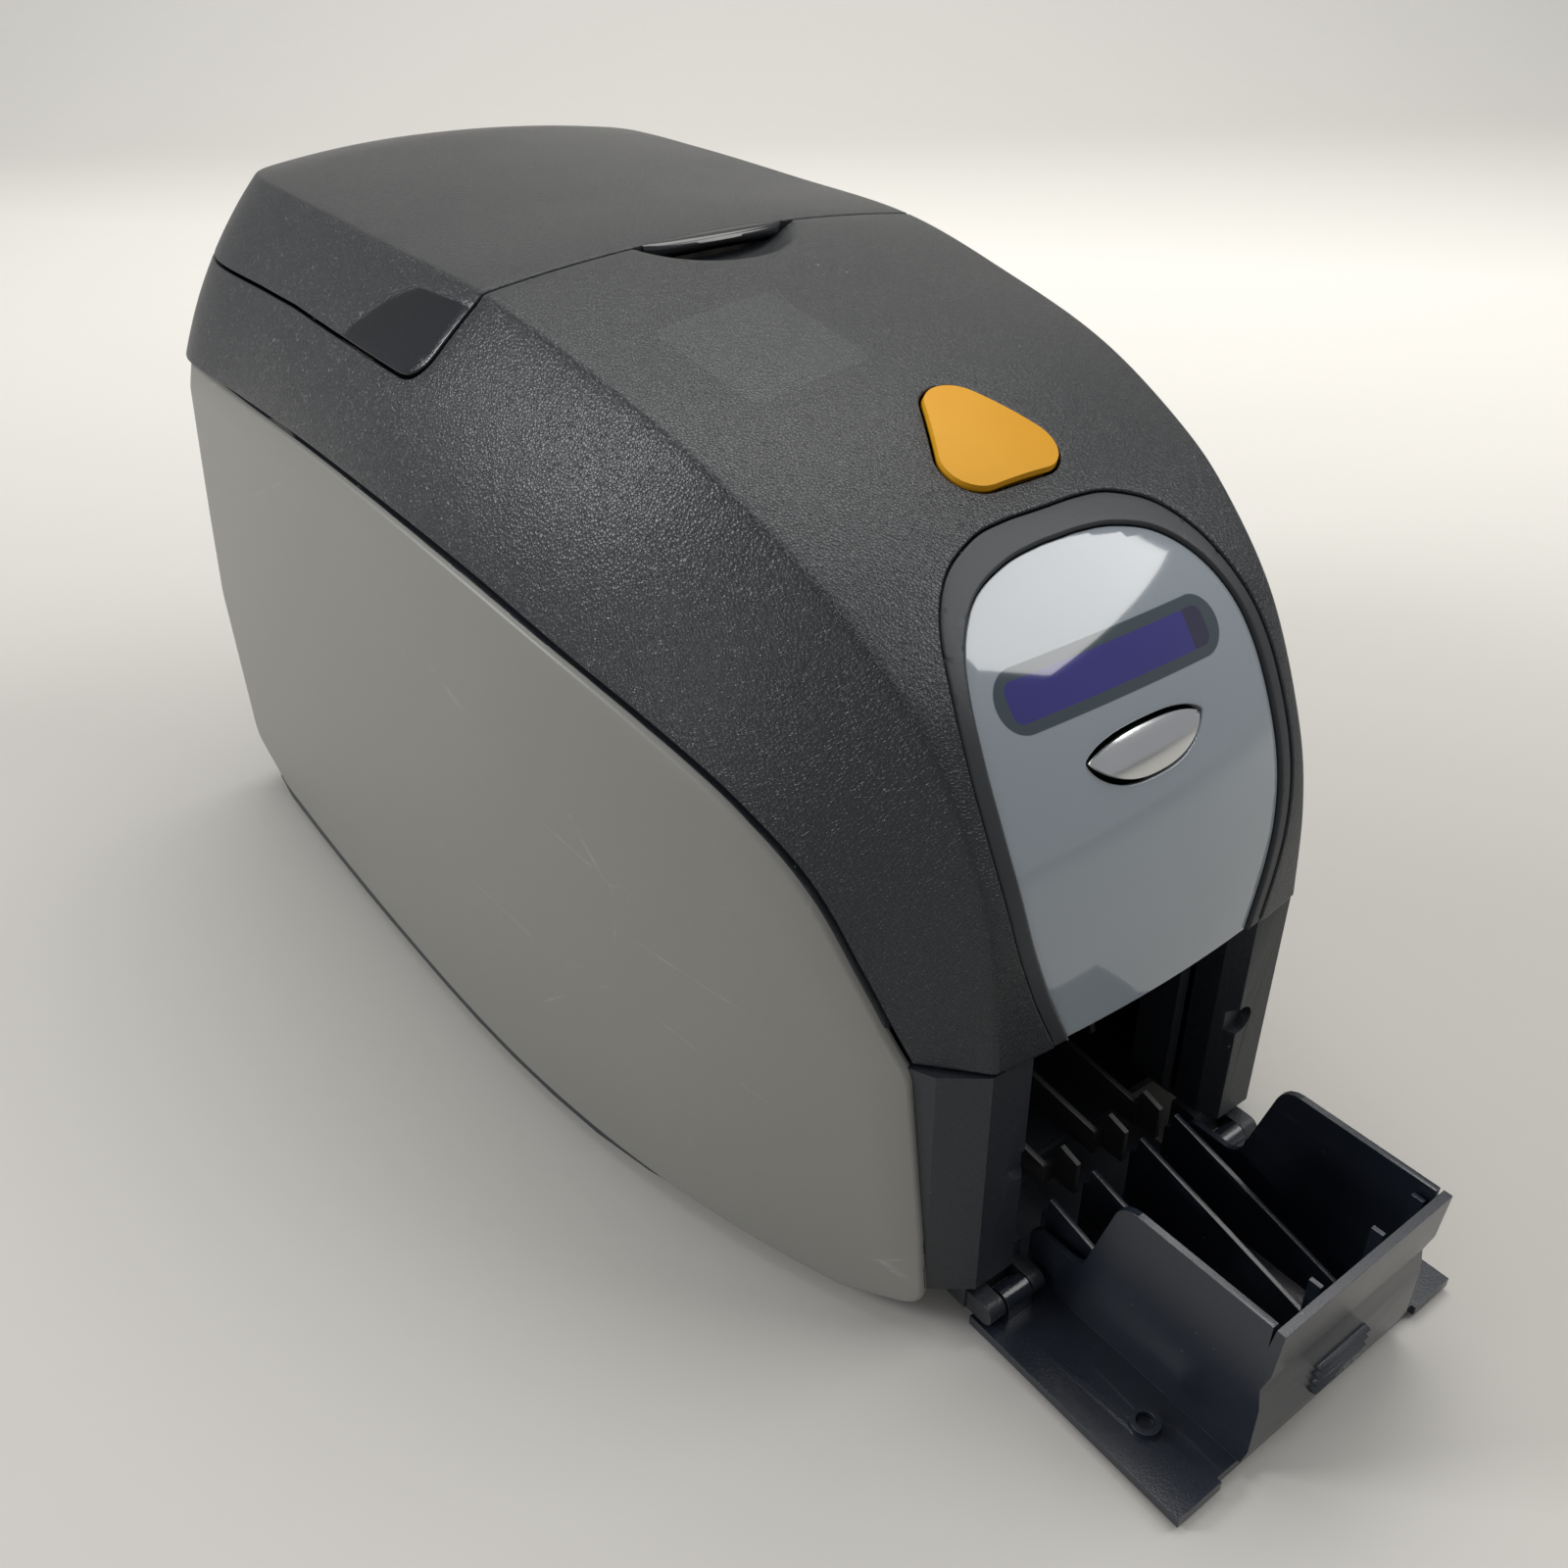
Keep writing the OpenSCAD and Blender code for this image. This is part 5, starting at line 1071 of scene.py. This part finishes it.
TOP_GAP = 1.7
rail = lid_rail(np.linspace(3, FRONT_ROW, 90))
panel_top = np.stack([rail[:, 4], rail[:, 5] - TOP_GAP], 1)
panel_side = np.concatenate([panel_top, rounded_line(
    [(*panel_top[-1], 0), (-163, 79.3, 0), (-169, 11, 6), (-150, 5.5, 18), (150, 8.5, 10),
     (180, 17, 8), (179, 78, 20), (*panel_top[0], 0)], 10, closed=False)[1:-1]])
turned_edge = np.concatenate([panel_top, [(-163, 79.3), (-168.5, 30), (-169, 14), (-163, 8)]])
panel_side = evenly(np.concatenate([panel_side, panel_side[:1]]), 1.6)[:-1]


def side_skin(uv):
    """The panel's outer face at (-y, z)."""
    y, z = -uv[:, 0], uv[:, 1]
    a, b = turned_edge[:-1], turned_edge[1:]
    p = np.stack([y, z], 1)[:, None]
    ab = (b - a)[None]
    t = np.clip(((p - a[None]) * ab).sum(2) / (ab ** 2).sum(2), 0, 1)
    far = np.linalg.norm(p - a[None] - ab * t[..., None], axis=2).min(1)
    k = np.clip(1 - far / BAND_W, 0, 1) * np.clip((z - 9) / 24, 0, 1)
    swell = SWELL * np.clip((z - 8) / 120, 0, 1) * np.clip((168 - z) / 60, 0, 1)
    return np.stack([panel_half_w(y) - PANEL_SINK - BAND_TURN * k ** 1.3 + swell, y, z], 1)


same = lambda uv, way=1: uv
side_loop = np.stack([-panel_side[:, 0], panel_side[:, 1]], 1)
points, faces, _, _ = mesh_skin(side_skin, side_loop, [True] * len(side_loop), PANEL_WALL,
                                PANEL_EDGE, PANEL_PITCH, same)

grey = Finish("warm_grey_satin", (0.188, 0.186, 0.170), 0.40)
fine = grey.noise(2600, 2, 0.6)
cloudy = grey.noise(9, 4, 0.55)
streak = grey.noise(70, 5, 0.7, at=grey.stretched(1, 0.12, 1.6))
scratch = grey.cells(13, "DISTANCE_TO_EDGE", at=grey.stretched(1, 0.9, 1.7))
faint = scratch.below(0.004, 0.004) * streak.above(0.6, 0.1) * 0.5
tone = grey.blend(cloudy.above(0.5, 0.5), (0.180, 0.178, 0.163), (0.196, 0.194, 0.178))
tone = grey.blend(faint, tone, (0.30, 0.30, 0.28))
grey.put(Base_Color=tone, Roughness=0.36 + cloudy * 0.10 + faint * 0.2,
         Normal=grey.bump(fine, 0.00005, 0.8))
for side_name, way in (("right", 1), ("left", -1)):
    p = points * (way, 1, 1)
    f = faces if way > 0 else [tuple(face)[::-1] for face in faces]
    panel_piece = build(side_name + "_panel", p, f, grey.mat, "chassis", sharp=50)
    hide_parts(side_name + "_side_panel")

# ---------------------------------------------------------------- lower casing
# The tub, the two front cheeks and the rear cover are moulded in the lid's grained ABS.
# They are screwed together from below; their outer edges have a small moulded radius.


TURNED_SHARP, EDGE_SHARP, FLAT_ANGLE = math.radians(32), math.radians(38), math.radians(0.4)


def soft_copy(node, finish, edge=0.0):
    """A merged copy of a hard-edged CAD node, with rounded edges and smooth turned faces."""
    cad = frame["nodes"][node]
    work = bmesh.new()
    work.from_mesh(cad.data)
    bmesh.ops.remove_doubles(work, verts=work.verts, dist=2e-6)
    bmesh.ops.dissolve_degenerate(work, edges=work.edges, dist=1e-7)
    if edge:
        bmesh.ops.dissolve_limit(work, angle_limit=FLAT_ANGLE, verts=work.verts, edges=work.edges)
    mesh = bpy.data.meshes.new(node + "_soft")
    work.to_mesh(mesh)
    work.free()
    for face in mesh.polygons:
        face.use_smooth = True
    mesh.set_sharp_from_angle(angle=TURNED_SHARP)
    mesh.materials.clear()
    mesh.materials.append(finish)
    piece = bpy.data.objects.new(node + "_piece", mesh)
    bpy.context.scene.collection.objects.link(piece)
    if edge:
        rounding = piece.modifiers.new("moulded_edge", "BEVEL")
        rounding.width = edge / 1000
        rounding.segments = 2
        rounding.limit_method = "ANGLE"
        rounding.angle_limit = EDGE_SHARP
        rounding.harden_normals = True
        rounding.use_clamp_overlap = True
    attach(piece, cad["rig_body"])
    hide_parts(node)


lower_grain = plastic_grain("lower_casing_grain", (0.017, 0.020, 0.025), 0.40, GRAIN_SCALE, 0.0001)
for node in ("chassis_tub", "left_cheek", "right_cheek", "rear_cover"):
    soft_copy(node, lower_grain, 0.3)

foot_rubber = Finish("foot_rubber", (0.020, 0.020, 0.021), 0.78)
crumb = foot_rubber.noise(700, 4, 0.6)
foot_rubber.put(Base_Color=foot_rubber.blend(crumb, (0.016, 0.016, 0.017), (0.030, 0.030, 0.030)),
                Roughness=0.7 + crumb * 0.2, Normal=foot_rubber.bump(crumb, 0.0001))
soft_copy("rubber_feet", foot_rubber.mat, 0.4)

# ---------------------------------------------------------------- output tray
# The drop-down card tray is one moulding of dark blue-black ABS with a satin face. It
# turns on two steel pins in the cheeks; its plate shows faint rub marks from cards.

tray_satin = Finish("tray_satin", (0.011, 0.014, 0.021), 0.26, Specular_IOR_Level=0.6)
pores = tray_satin.noise(2200, 2, 0.6)
clouds = tray_satin.noise(18, 4, 0.6)
slides = tray_satin.noise(120, 4, 0.65, at=tray_satin.stretched(1.0, 0.08, 1.0))
specks = tray_satin.cells(330).below(0.045, 0.02) * tray_satin.noise(60, 2).above(0.6, 0.05)
tone = tray_satin.blend(clouds.above(0.5, 0.4) * 0.5, (0.010, 0.013, 0.020), (0.015, 0.019, 0.027))
tone = tray_satin.blend(slides.above(0.66, 0.1) * 0.35, tone, (0.06, 0.065, 0.075))
tone = tray_satin.blend(specks * 0.6, tone, (0.45, 0.45, 0.45))
tray_satin.put(Base_Color=tone, Roughness=0.13 + clouds * 0.12 + slides * 0.08,
               Normal=tray_satin.bump(pores, 0.00005))
soft_copy("output_tray", tray_satin.mat, 0.35)

# ---------------------------------------------------------------- steel frame and turned parts
# Zinc-plated side plates and the head bracket are folded sheet. The rods, pins, latch,
# screws and the platen's shaft are turned or drawn from bright steel.

zinc = Finish("zinc_plate", (0.52, 0.53, 0.53), 0.36, 1.0)
spangle = zinc.cells(420)
rolled = zinc.noise(260, 3, 0.6, at=zinc.stretched(1, 0.1, 1))
zinc.put(Base_Color=zinc.blend(spangle * 0.6, (0.46, 0.47, 0.47), (0.60, 0.61, 0.62)),
         Roughness=0.30 + spangle * 0.12 + rolled * 0.08, Normal=zinc.bump(rolled, 0.00002))
steel = Finish("bright_steel", (0.62, 0.61, 0.60), 0.24, 1.0)
turned = steel.noise(900, 3, 0.6, at=steel.stretched(1, 0.05, 0.05))
handled = steel.noise(40, 4, 0.6)
steel.put(Base_Color=steel.blend(handled.above(0.5, 0.3) * 0.4, (0.64, 0.63, 0.62),
                                 (0.50, 0.49, 0.47)),
          Roughness=0.2 + turned * 0.16, Normal=steel.bump(turned, 0.00001))
for node in ("left_frame", "right_frame", "head_bracket"):
    soft_copy(node, zinc.mat, 0.15)
blackened = Finish("blackened_steel", (0.035, 0.036, 0.038), 0.36, 0.7)
rubbed = blackened.noise(300, 4, 0.6)
blackened.put(Base_Color=blackened.blend(rubbed.above(0.6, 0.15) * 0.4, (0.03, 0.031, 0.033),
                                         (0.09, 0.09, 0.09)),
              Roughness=0.3 + rubbed * 0.16, Normal=blackened.bump(rubbed, 0.00001))
soft_copy("tray_hinge_pins", blackened.mat)
for node in ("frame_rods", "lid_hinge_pins", "latch_bar", "case_screws",
             "feeder_hinge_pins", "latch_lever", "platen_shaft"):
    soft_copy(node, steel.mat)

# ---------------------------------------------------------------- wound springs
# Two springs press the print head down and one lifts the release button. They are wound
# from 1 mm wire in even turns and stop short of the moving piece by that piece's travel.

WIRE, TURNS, TURN_POINTS, WIRE_SIDES = 0.0005, 4.0, 28, 10
spring_tree = bpy.data.node_groups.new("wound_spring", "GeometryNodeTree")
sockets = spring_tree.interface
sockets.new_socket("Geometry", in_out="INPUT", socket_type="NodeSocketGeometry")
for name, size in (("Radius", 0.004), ("Height", 0.008), ("Turns", TURNS), ("Wire", WIRE)):
    sockets.new_socket(name, in_out="INPUT", socket_type="NodeSocketFloat").default_value = size
sockets.new_socket("Finish", in_out="INPUT", socket_type="NodeSocketMaterial")
sockets.new_socket("Geometry", in_out="OUTPUT", socket_type="NodeSocketGeometry")
given = spring_tree.nodes.new("NodeGroupInput")
result = spring_tree.nodes.new("NodeGroupOutput")
winding = spring_tree.nodes.new("GeometryNodeCurveSpiral")
winding.inputs["Resolution"].default_value = TURN_POINTS
section = spring_tree.nodes.new("GeometryNodeCurvePrimitiveCircle")
section.inputs["Resolution"].default_value = WIRE_SIDES
drawn_wire = spring_tree.nodes.new("GeometryNodeCurveToMesh")
drawn_wire.inputs["Fill Caps"].default_value = True
realized = spring_tree.nodes.new("GeometryNodeRealizeInstances")
painted = spring_tree.nodes.new("GeometryNodeSetMaterial")
for node_from, output, node_to, socket in (
        (given, "Turns", winding, "Rotations"), (given, "Radius", winding, "Start Radius"),
        (given, "Radius", winding, "End Radius"), (given, "Height", winding, "Height"),
        (given, "Wire", section, "Radius"), (winding, "Curve", drawn_wire, "Curve"),
        (section, "Curve", drawn_wire, "Profile Curve"),
        (drawn_wire, "Mesh", realized, "Geometry"), (realized, "Geometry", painted, "Geometry"),
        (given, "Finish", painted, "Material"), (painted, "Geometry", result, "Geometry")):
    spring_tree.links.new(node_from.outputs[output], node_to.inputs[socket])
socket_of = {item.name: item.identifier for item in sockets.items_tree if item.in_out == "INPUT"}


def seat(share):
    """A CAD spring's axis, middle, radius and height; it leans forward from upright."""
    low, high = share.min(0), share.max(0)
    radius = (high[0] - low[0]) / 2 - WIRE
    tilts = np.radians(np.arange(0, 90, 0.25))
    leaning = np.stack([0 * tilts, -np.sin(tilts), np.cos(tilts)], 1)
    flat = np.stack([0 * tilts, np.cos(tilts), np.sin(tilts)], 1)
    wide = (share @ flat.T).max(0) - (share @ flat.T).min(0)
    best = int(np.argmin(np.abs(wide - 2 * (radius + WIRE)) + 0.02 * tilts * WIRE))
    axis = leaning[best]
    along, across = share @ axis, share @ flat[best]
    middle = (axis * (along.max() + along.min()) + flat[best] * (across.max() + across.min())) / 2
    middle[0] = (high[0] + low[0]) / 2
    return axis, middle, radius, along.max() - along.min() - 2 * WIRE


# room is left below the head springs and above the release spring
for node, count, room in (("head_springs", 2, 0.0016), ("release_spring", 1, -0.0031)):
    cad = np.array([v.co for v in frame["nodes"][node].data.vertices])
    coils = bmesh.new()
    for share in ([cad] if count == 1 else [cad[cad[:, 0] > 0], cad[cad[:, 0] < 0]]):
        axis, middle, radius, height = seat(share)
        height -= abs(room)
        middle += axis * room / 2
        holder = bpy.data.objects.new("winding", bpy.data.meshes.new("winding"))
        bpy.context.scene.collection.objects.link(holder)
        maker = holder.modifiers.new("wound_spring", "NODES")
        maker.node_group = spring_tree
        for label, value in (("Radius", radius), ("Height", height), ("Turns", TURNS),
                             ("Wire", WIRE), ("Finish", steel.mat)):
            maker[socket_of[label]] = value
        graph = bpy.context.evaluated_depsgraph_get()
        wound = bpy.data.meshes.new_from_object(holder.evaluated_get(graph))
        turn = Vector((0, 0, 1)).rotation_difference(Vector(axis)).to_matrix().to_4x4()
        wound.transform(Matrix.Translation(Vector(middle - axis * height / 2)) @ turn)
        coils.from_mesh(wound)
        bpy.data.objects.remove(holder)
    bmesh.ops.recalc_face_normals(coils, faces=coils.faces)
    coil_mesh = bpy.data.meshes.new(node + "_wound")
    coils.to_mesh(coil_mesh)
    coils.free()
    for face in coil_mesh.polygons:
        face.use_smooth = True
    coil_mesh.set_sharp_from_angle(angle=math.radians(50))
    coil_mesh.materials.append(steel.mat)
    spring_piece = bpy.data.objects.new(node + "_piece", coil_mesh)
    bpy.context.scene.collection.objects.link(spring_piece)
    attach(spring_piece, frame["nodes"][node]["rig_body"])
    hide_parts(node)

# ---------------------------------------------------------------- rollers and gears
# Drive rollers are ground black rubber on white acetal cores. The gears and the pinch
# rollers are acetal mouldings; the card cleaning roller is tacky red silicone.

acetal = Finish("white_acetal", (0.70, 0.70, 0.67), 0.42)
flow = acetal.noise(50, 3, 0.5)
grease = acetal.noise(120, 4, 0.6)
acetal.put(Base_Color=acetal.blend(grease.above(0.6, 0.15) * 0.35, (0.71, 0.71, 0.68),
                                   (0.55, 0.53, 0.46)),
           Roughness=0.36 + flow * 0.12, Normal=acetal.bump(flow, 0.00004))
ground = Finish("ground_rubber", (0.022, 0.022, 0.024), 0.62)
grit = ground.noise(1600, 3, 0.6)
chalk = ground.noise(80, 3, 0.6, at=ground.stretched(0.3, 1, 1))
ground.put(Base_Color=ground.blend(chalk.above(0.5, 0.3) * 0.6, (0.019, 0.019, 0.021),
                                   (0.045, 0.045, 0.046)),
           Roughness=0.55 + chalk * 0.15, Normal=ground.bump(grit, 0.00006))
silicone = Finish("red_silicone", (0.50, 0.030, 0.024), 0.45)
lint = silicone.noise(300, 4, 0.65)
silicone.put(Base_Color=silicone.blend(lint.above(0.62, 0.08) * 0.5, (0.50, 0.028, 0.022),
                                       (0.62, 0.20, 0.17)),
             Roughness=0.38 + lint * 0.2, Normal=silicone.bump(lint, 0.00004))
for node in ("shaft_bushes", "platen_gear", "transport_shaft", "feed_shaft", "exit_shaft",
             "front_idler_gear", "middle_idler_gear", "rear_idler_gear", "exit_pinch_roller",
             "transport_pinch_roller", "supply_spool", "takeup_spool"):
    soft_copy(node, acetal.mat)
for node in ("platen_rubber", "transport_rubber", "feed_rubber", "exit_rubber"):
    soft_copy(node, ground.mat)
soft_copy("cleaning_roller", silicone.mat)

# ---------------------------------------------------------------- ribbon film
# The print ribbon is a thin polyester film wound from one spool to the other; its dye
# panels follow one another as yellow, magenta, cyan and black bands.

film = Finish("dye_film", (0.02, 0.02, 0.02), 0.12, Coat_Weight=0.4)
x, y, z = film.xyz()
ripple = film.noise(60, 3, 0.5, at=film.stretched(0.3, 1, 1))
run = y * 14.0 + z * 11.0 + 20.0
dyes = [(0.0, (0.62, 0.47, 0.02)), (0.27, (0.55, 0.02, 0.16)), (0.52, (0.01, 0.20, 0.42)),
        (0.76, (0.008, 0.008, 0.009))]
band = film.node("ShaderNodeValToRGB", {"stops": dyes}, Fac=run.math("FRACT", run))
film.put(Base_Color=film.blend(ripple * 0.15, band, (0.01, 0.01, 0.012)),
         Roughness=0.1 + ripple * 0.12, Normal=film.bump(ripple, 0.0001))
soft_copy("ribbon_film", film.mat)

# ---------------------------------------------------------------- print head
# The thermal print head is a glazed ceramic strip bonded to a bare aluminium heat sink,
# carried on two wound springs under the lid.

glaze = Finish("glazed_ceramic", (0.70, 0.69, 0.65), 0.22, Coat_Weight=0.5)
speckle = glaze.noise(500, 3, 0.6)
glaze.put(Base_Color=glaze.blend(speckle.above(0.6, 0.1) * 0.25, (0.71, 0.70, 0.66),
                                 (0.50, 0.48, 0.44)),
          Roughness=0.18 + speckle * 0.1, Normal=glaze.bump(speckle, 0.00002))
cast = Finish("bare_aluminium", (0.66, 0.67, 0.68), 0.38, 1.0)
drawn = cast.noise(500, 3, 0.6, at=cast.stretched(0.04, 1, 1))
cast.put(Base_Color=cast.blend(drawn, (0.58, 0.59, 0.60), (0.72, 0.73, 0.74)),
         Roughness=0.32 + drawn * 0.16, Normal=cast.bump(drawn, 0.00003))
soft_copy("print_head", glaze.mat, 0.15)
soft_copy("print_head_sink", cast.mat, 0.15)

# ---------------------------------------------------------------- electronics and drive
# A green glass-epoxy board stands inside the rear, with the display's own small board in
# the lid. The stepper motor is black enamelled steel and its pinion is brass.

solder_mask = Finish("solder_mask", (0.012, 0.085, 0.035), 0.30, Coat_Weight=0.3)
x, y, z = solder_mask.xyz()
diagonal = (y + x) * 620.0
lanes = diagonal.math("SINE", diagonal).above(0.55, 0.2)
fields = solder_mask.node("ShaderNodeTexVoronoi", {"feature": "F1", "distance": "MANHATTAN"},
                          Vector=solder_mask.where, Scale=110)
pads = fields.below(0.16, 0.02)
tone = solder_mask.blend(lanes * 0.55, (0.010, 0.070, 0.028), (0.022, 0.150, 0.062))
tone = solder_mask.blend(pads, tone, (0.62, 0.55, 0.40))
solder_mask.put(Base_Color=tone, Roughness=0.26 + fields * 0.1,
                Normal=solder_mask.bump(lanes + pads, 0.00003))
for node in ("main_board", "lcd_module"):
    soft_copy(node, solder_mask.mat, 0.1)
enamel = Finish("motor_enamel", (0.024, 0.024, 0.025), 0.34)
orange_peel = enamel.noise(420, 3, 0.5)
enamel.put(Base_Color=enamel.blend(orange_peel * 0.4, (0.021, 0.021, 0.022),
                                   (0.036, 0.036, 0.037)),
           Roughness=0.28 + orange_peel * 0.12, Normal=enamel.bump(orange_peel, 0.00006))
soft_copy("drive_motor", enamel.mat, 0.3)
brass = Finish("cut_brass", (0.70, 0.48, 0.19), 0.28, 1.0)
tarnish = brass.noise(90, 4, 0.6)
brass.put(Base_Color=brass.blend(tarnish.above(0.5, 0.25) * 0.5, (0.72, 0.50, 0.20),
                                 (0.44, 0.28, 0.11)),
          Roughness=0.22 + tarnish * 0.2, Normal=brass.bump(tarnish, 0.00002))
soft_copy("motor_pinion", brass.mat)

# ---------------------------------------------------------------- card path, sockets and levers
# The card hopper, its sprung weight and the guides are black ABS with a fine spark-eroded
# surface, as are the lid frame, inlet and switch. The thickness lever is moulded blue.

eroded = Finish("spark_eroded_black", (0.022, 0.022, 0.023), 0.50)
pitting = eroded.noise(1400, 3, 0.65)
glide = eroded.noise(60, 4, 0.6, at=eroded.stretched(1, 0.2, 1))
eroded.put(Base_Color=eroded.blend(glide.above(0.55, 0.25) * 0.45, (0.019, 0.019, 0.020),
                                   (0.040, 0.040, 0.042)),
           Roughness=0.44 + pitting * 0.14, Normal=eroded.bump(pitting, 0.00005))
for node, edge in (("lid_frame", 0.2), ("card_hopper", 0.2), ("card_guides", 0.15),
                   ("card_weight", 0.3), ("power_socket", 0.25), ("power_switch", 0.25)):
    soft_copy(node, eroded.mat, edge)
shell_plate = Finish("nickel_plate", (0.60, 0.59, 0.56), 0.22, 1.0)
brushed = shell_plate.noise(800, 3, 0.6, at=shell_plate.stretched(0.1, 1, 1))
shell_plate.put(Base_Color=shell_plate.blend(brushed * 0.4, (0.62, 0.61, 0.58),
                                             (0.48, 0.47, 0.45)),
                Roughness=0.18 + brushed * 0.14, Normal=shell_plate.bump(brushed, 0.00001))
soft_copy("usb_socket", shell_plate.mat, 0.1)
lever_blue = Finish("lever_blue", (0.020, 0.095, 0.42), 0.36)
thumbed = lever_blue.noise(70, 4, 0.6)
lever_blue.put(Base_Color=lever_blue.blend(thumbed.above(0.55, 0.2) * 0.4, (0.019, 0.09, 0.41),
                                           (0.05, 0.15, 0.48)),
               Roughness=0.3 + thumbed * 0.14, Normal=lever_blue.bump(thumbed, 0.00003))
soft_copy("thickness_lever", lever_blue.mat, 0.25)
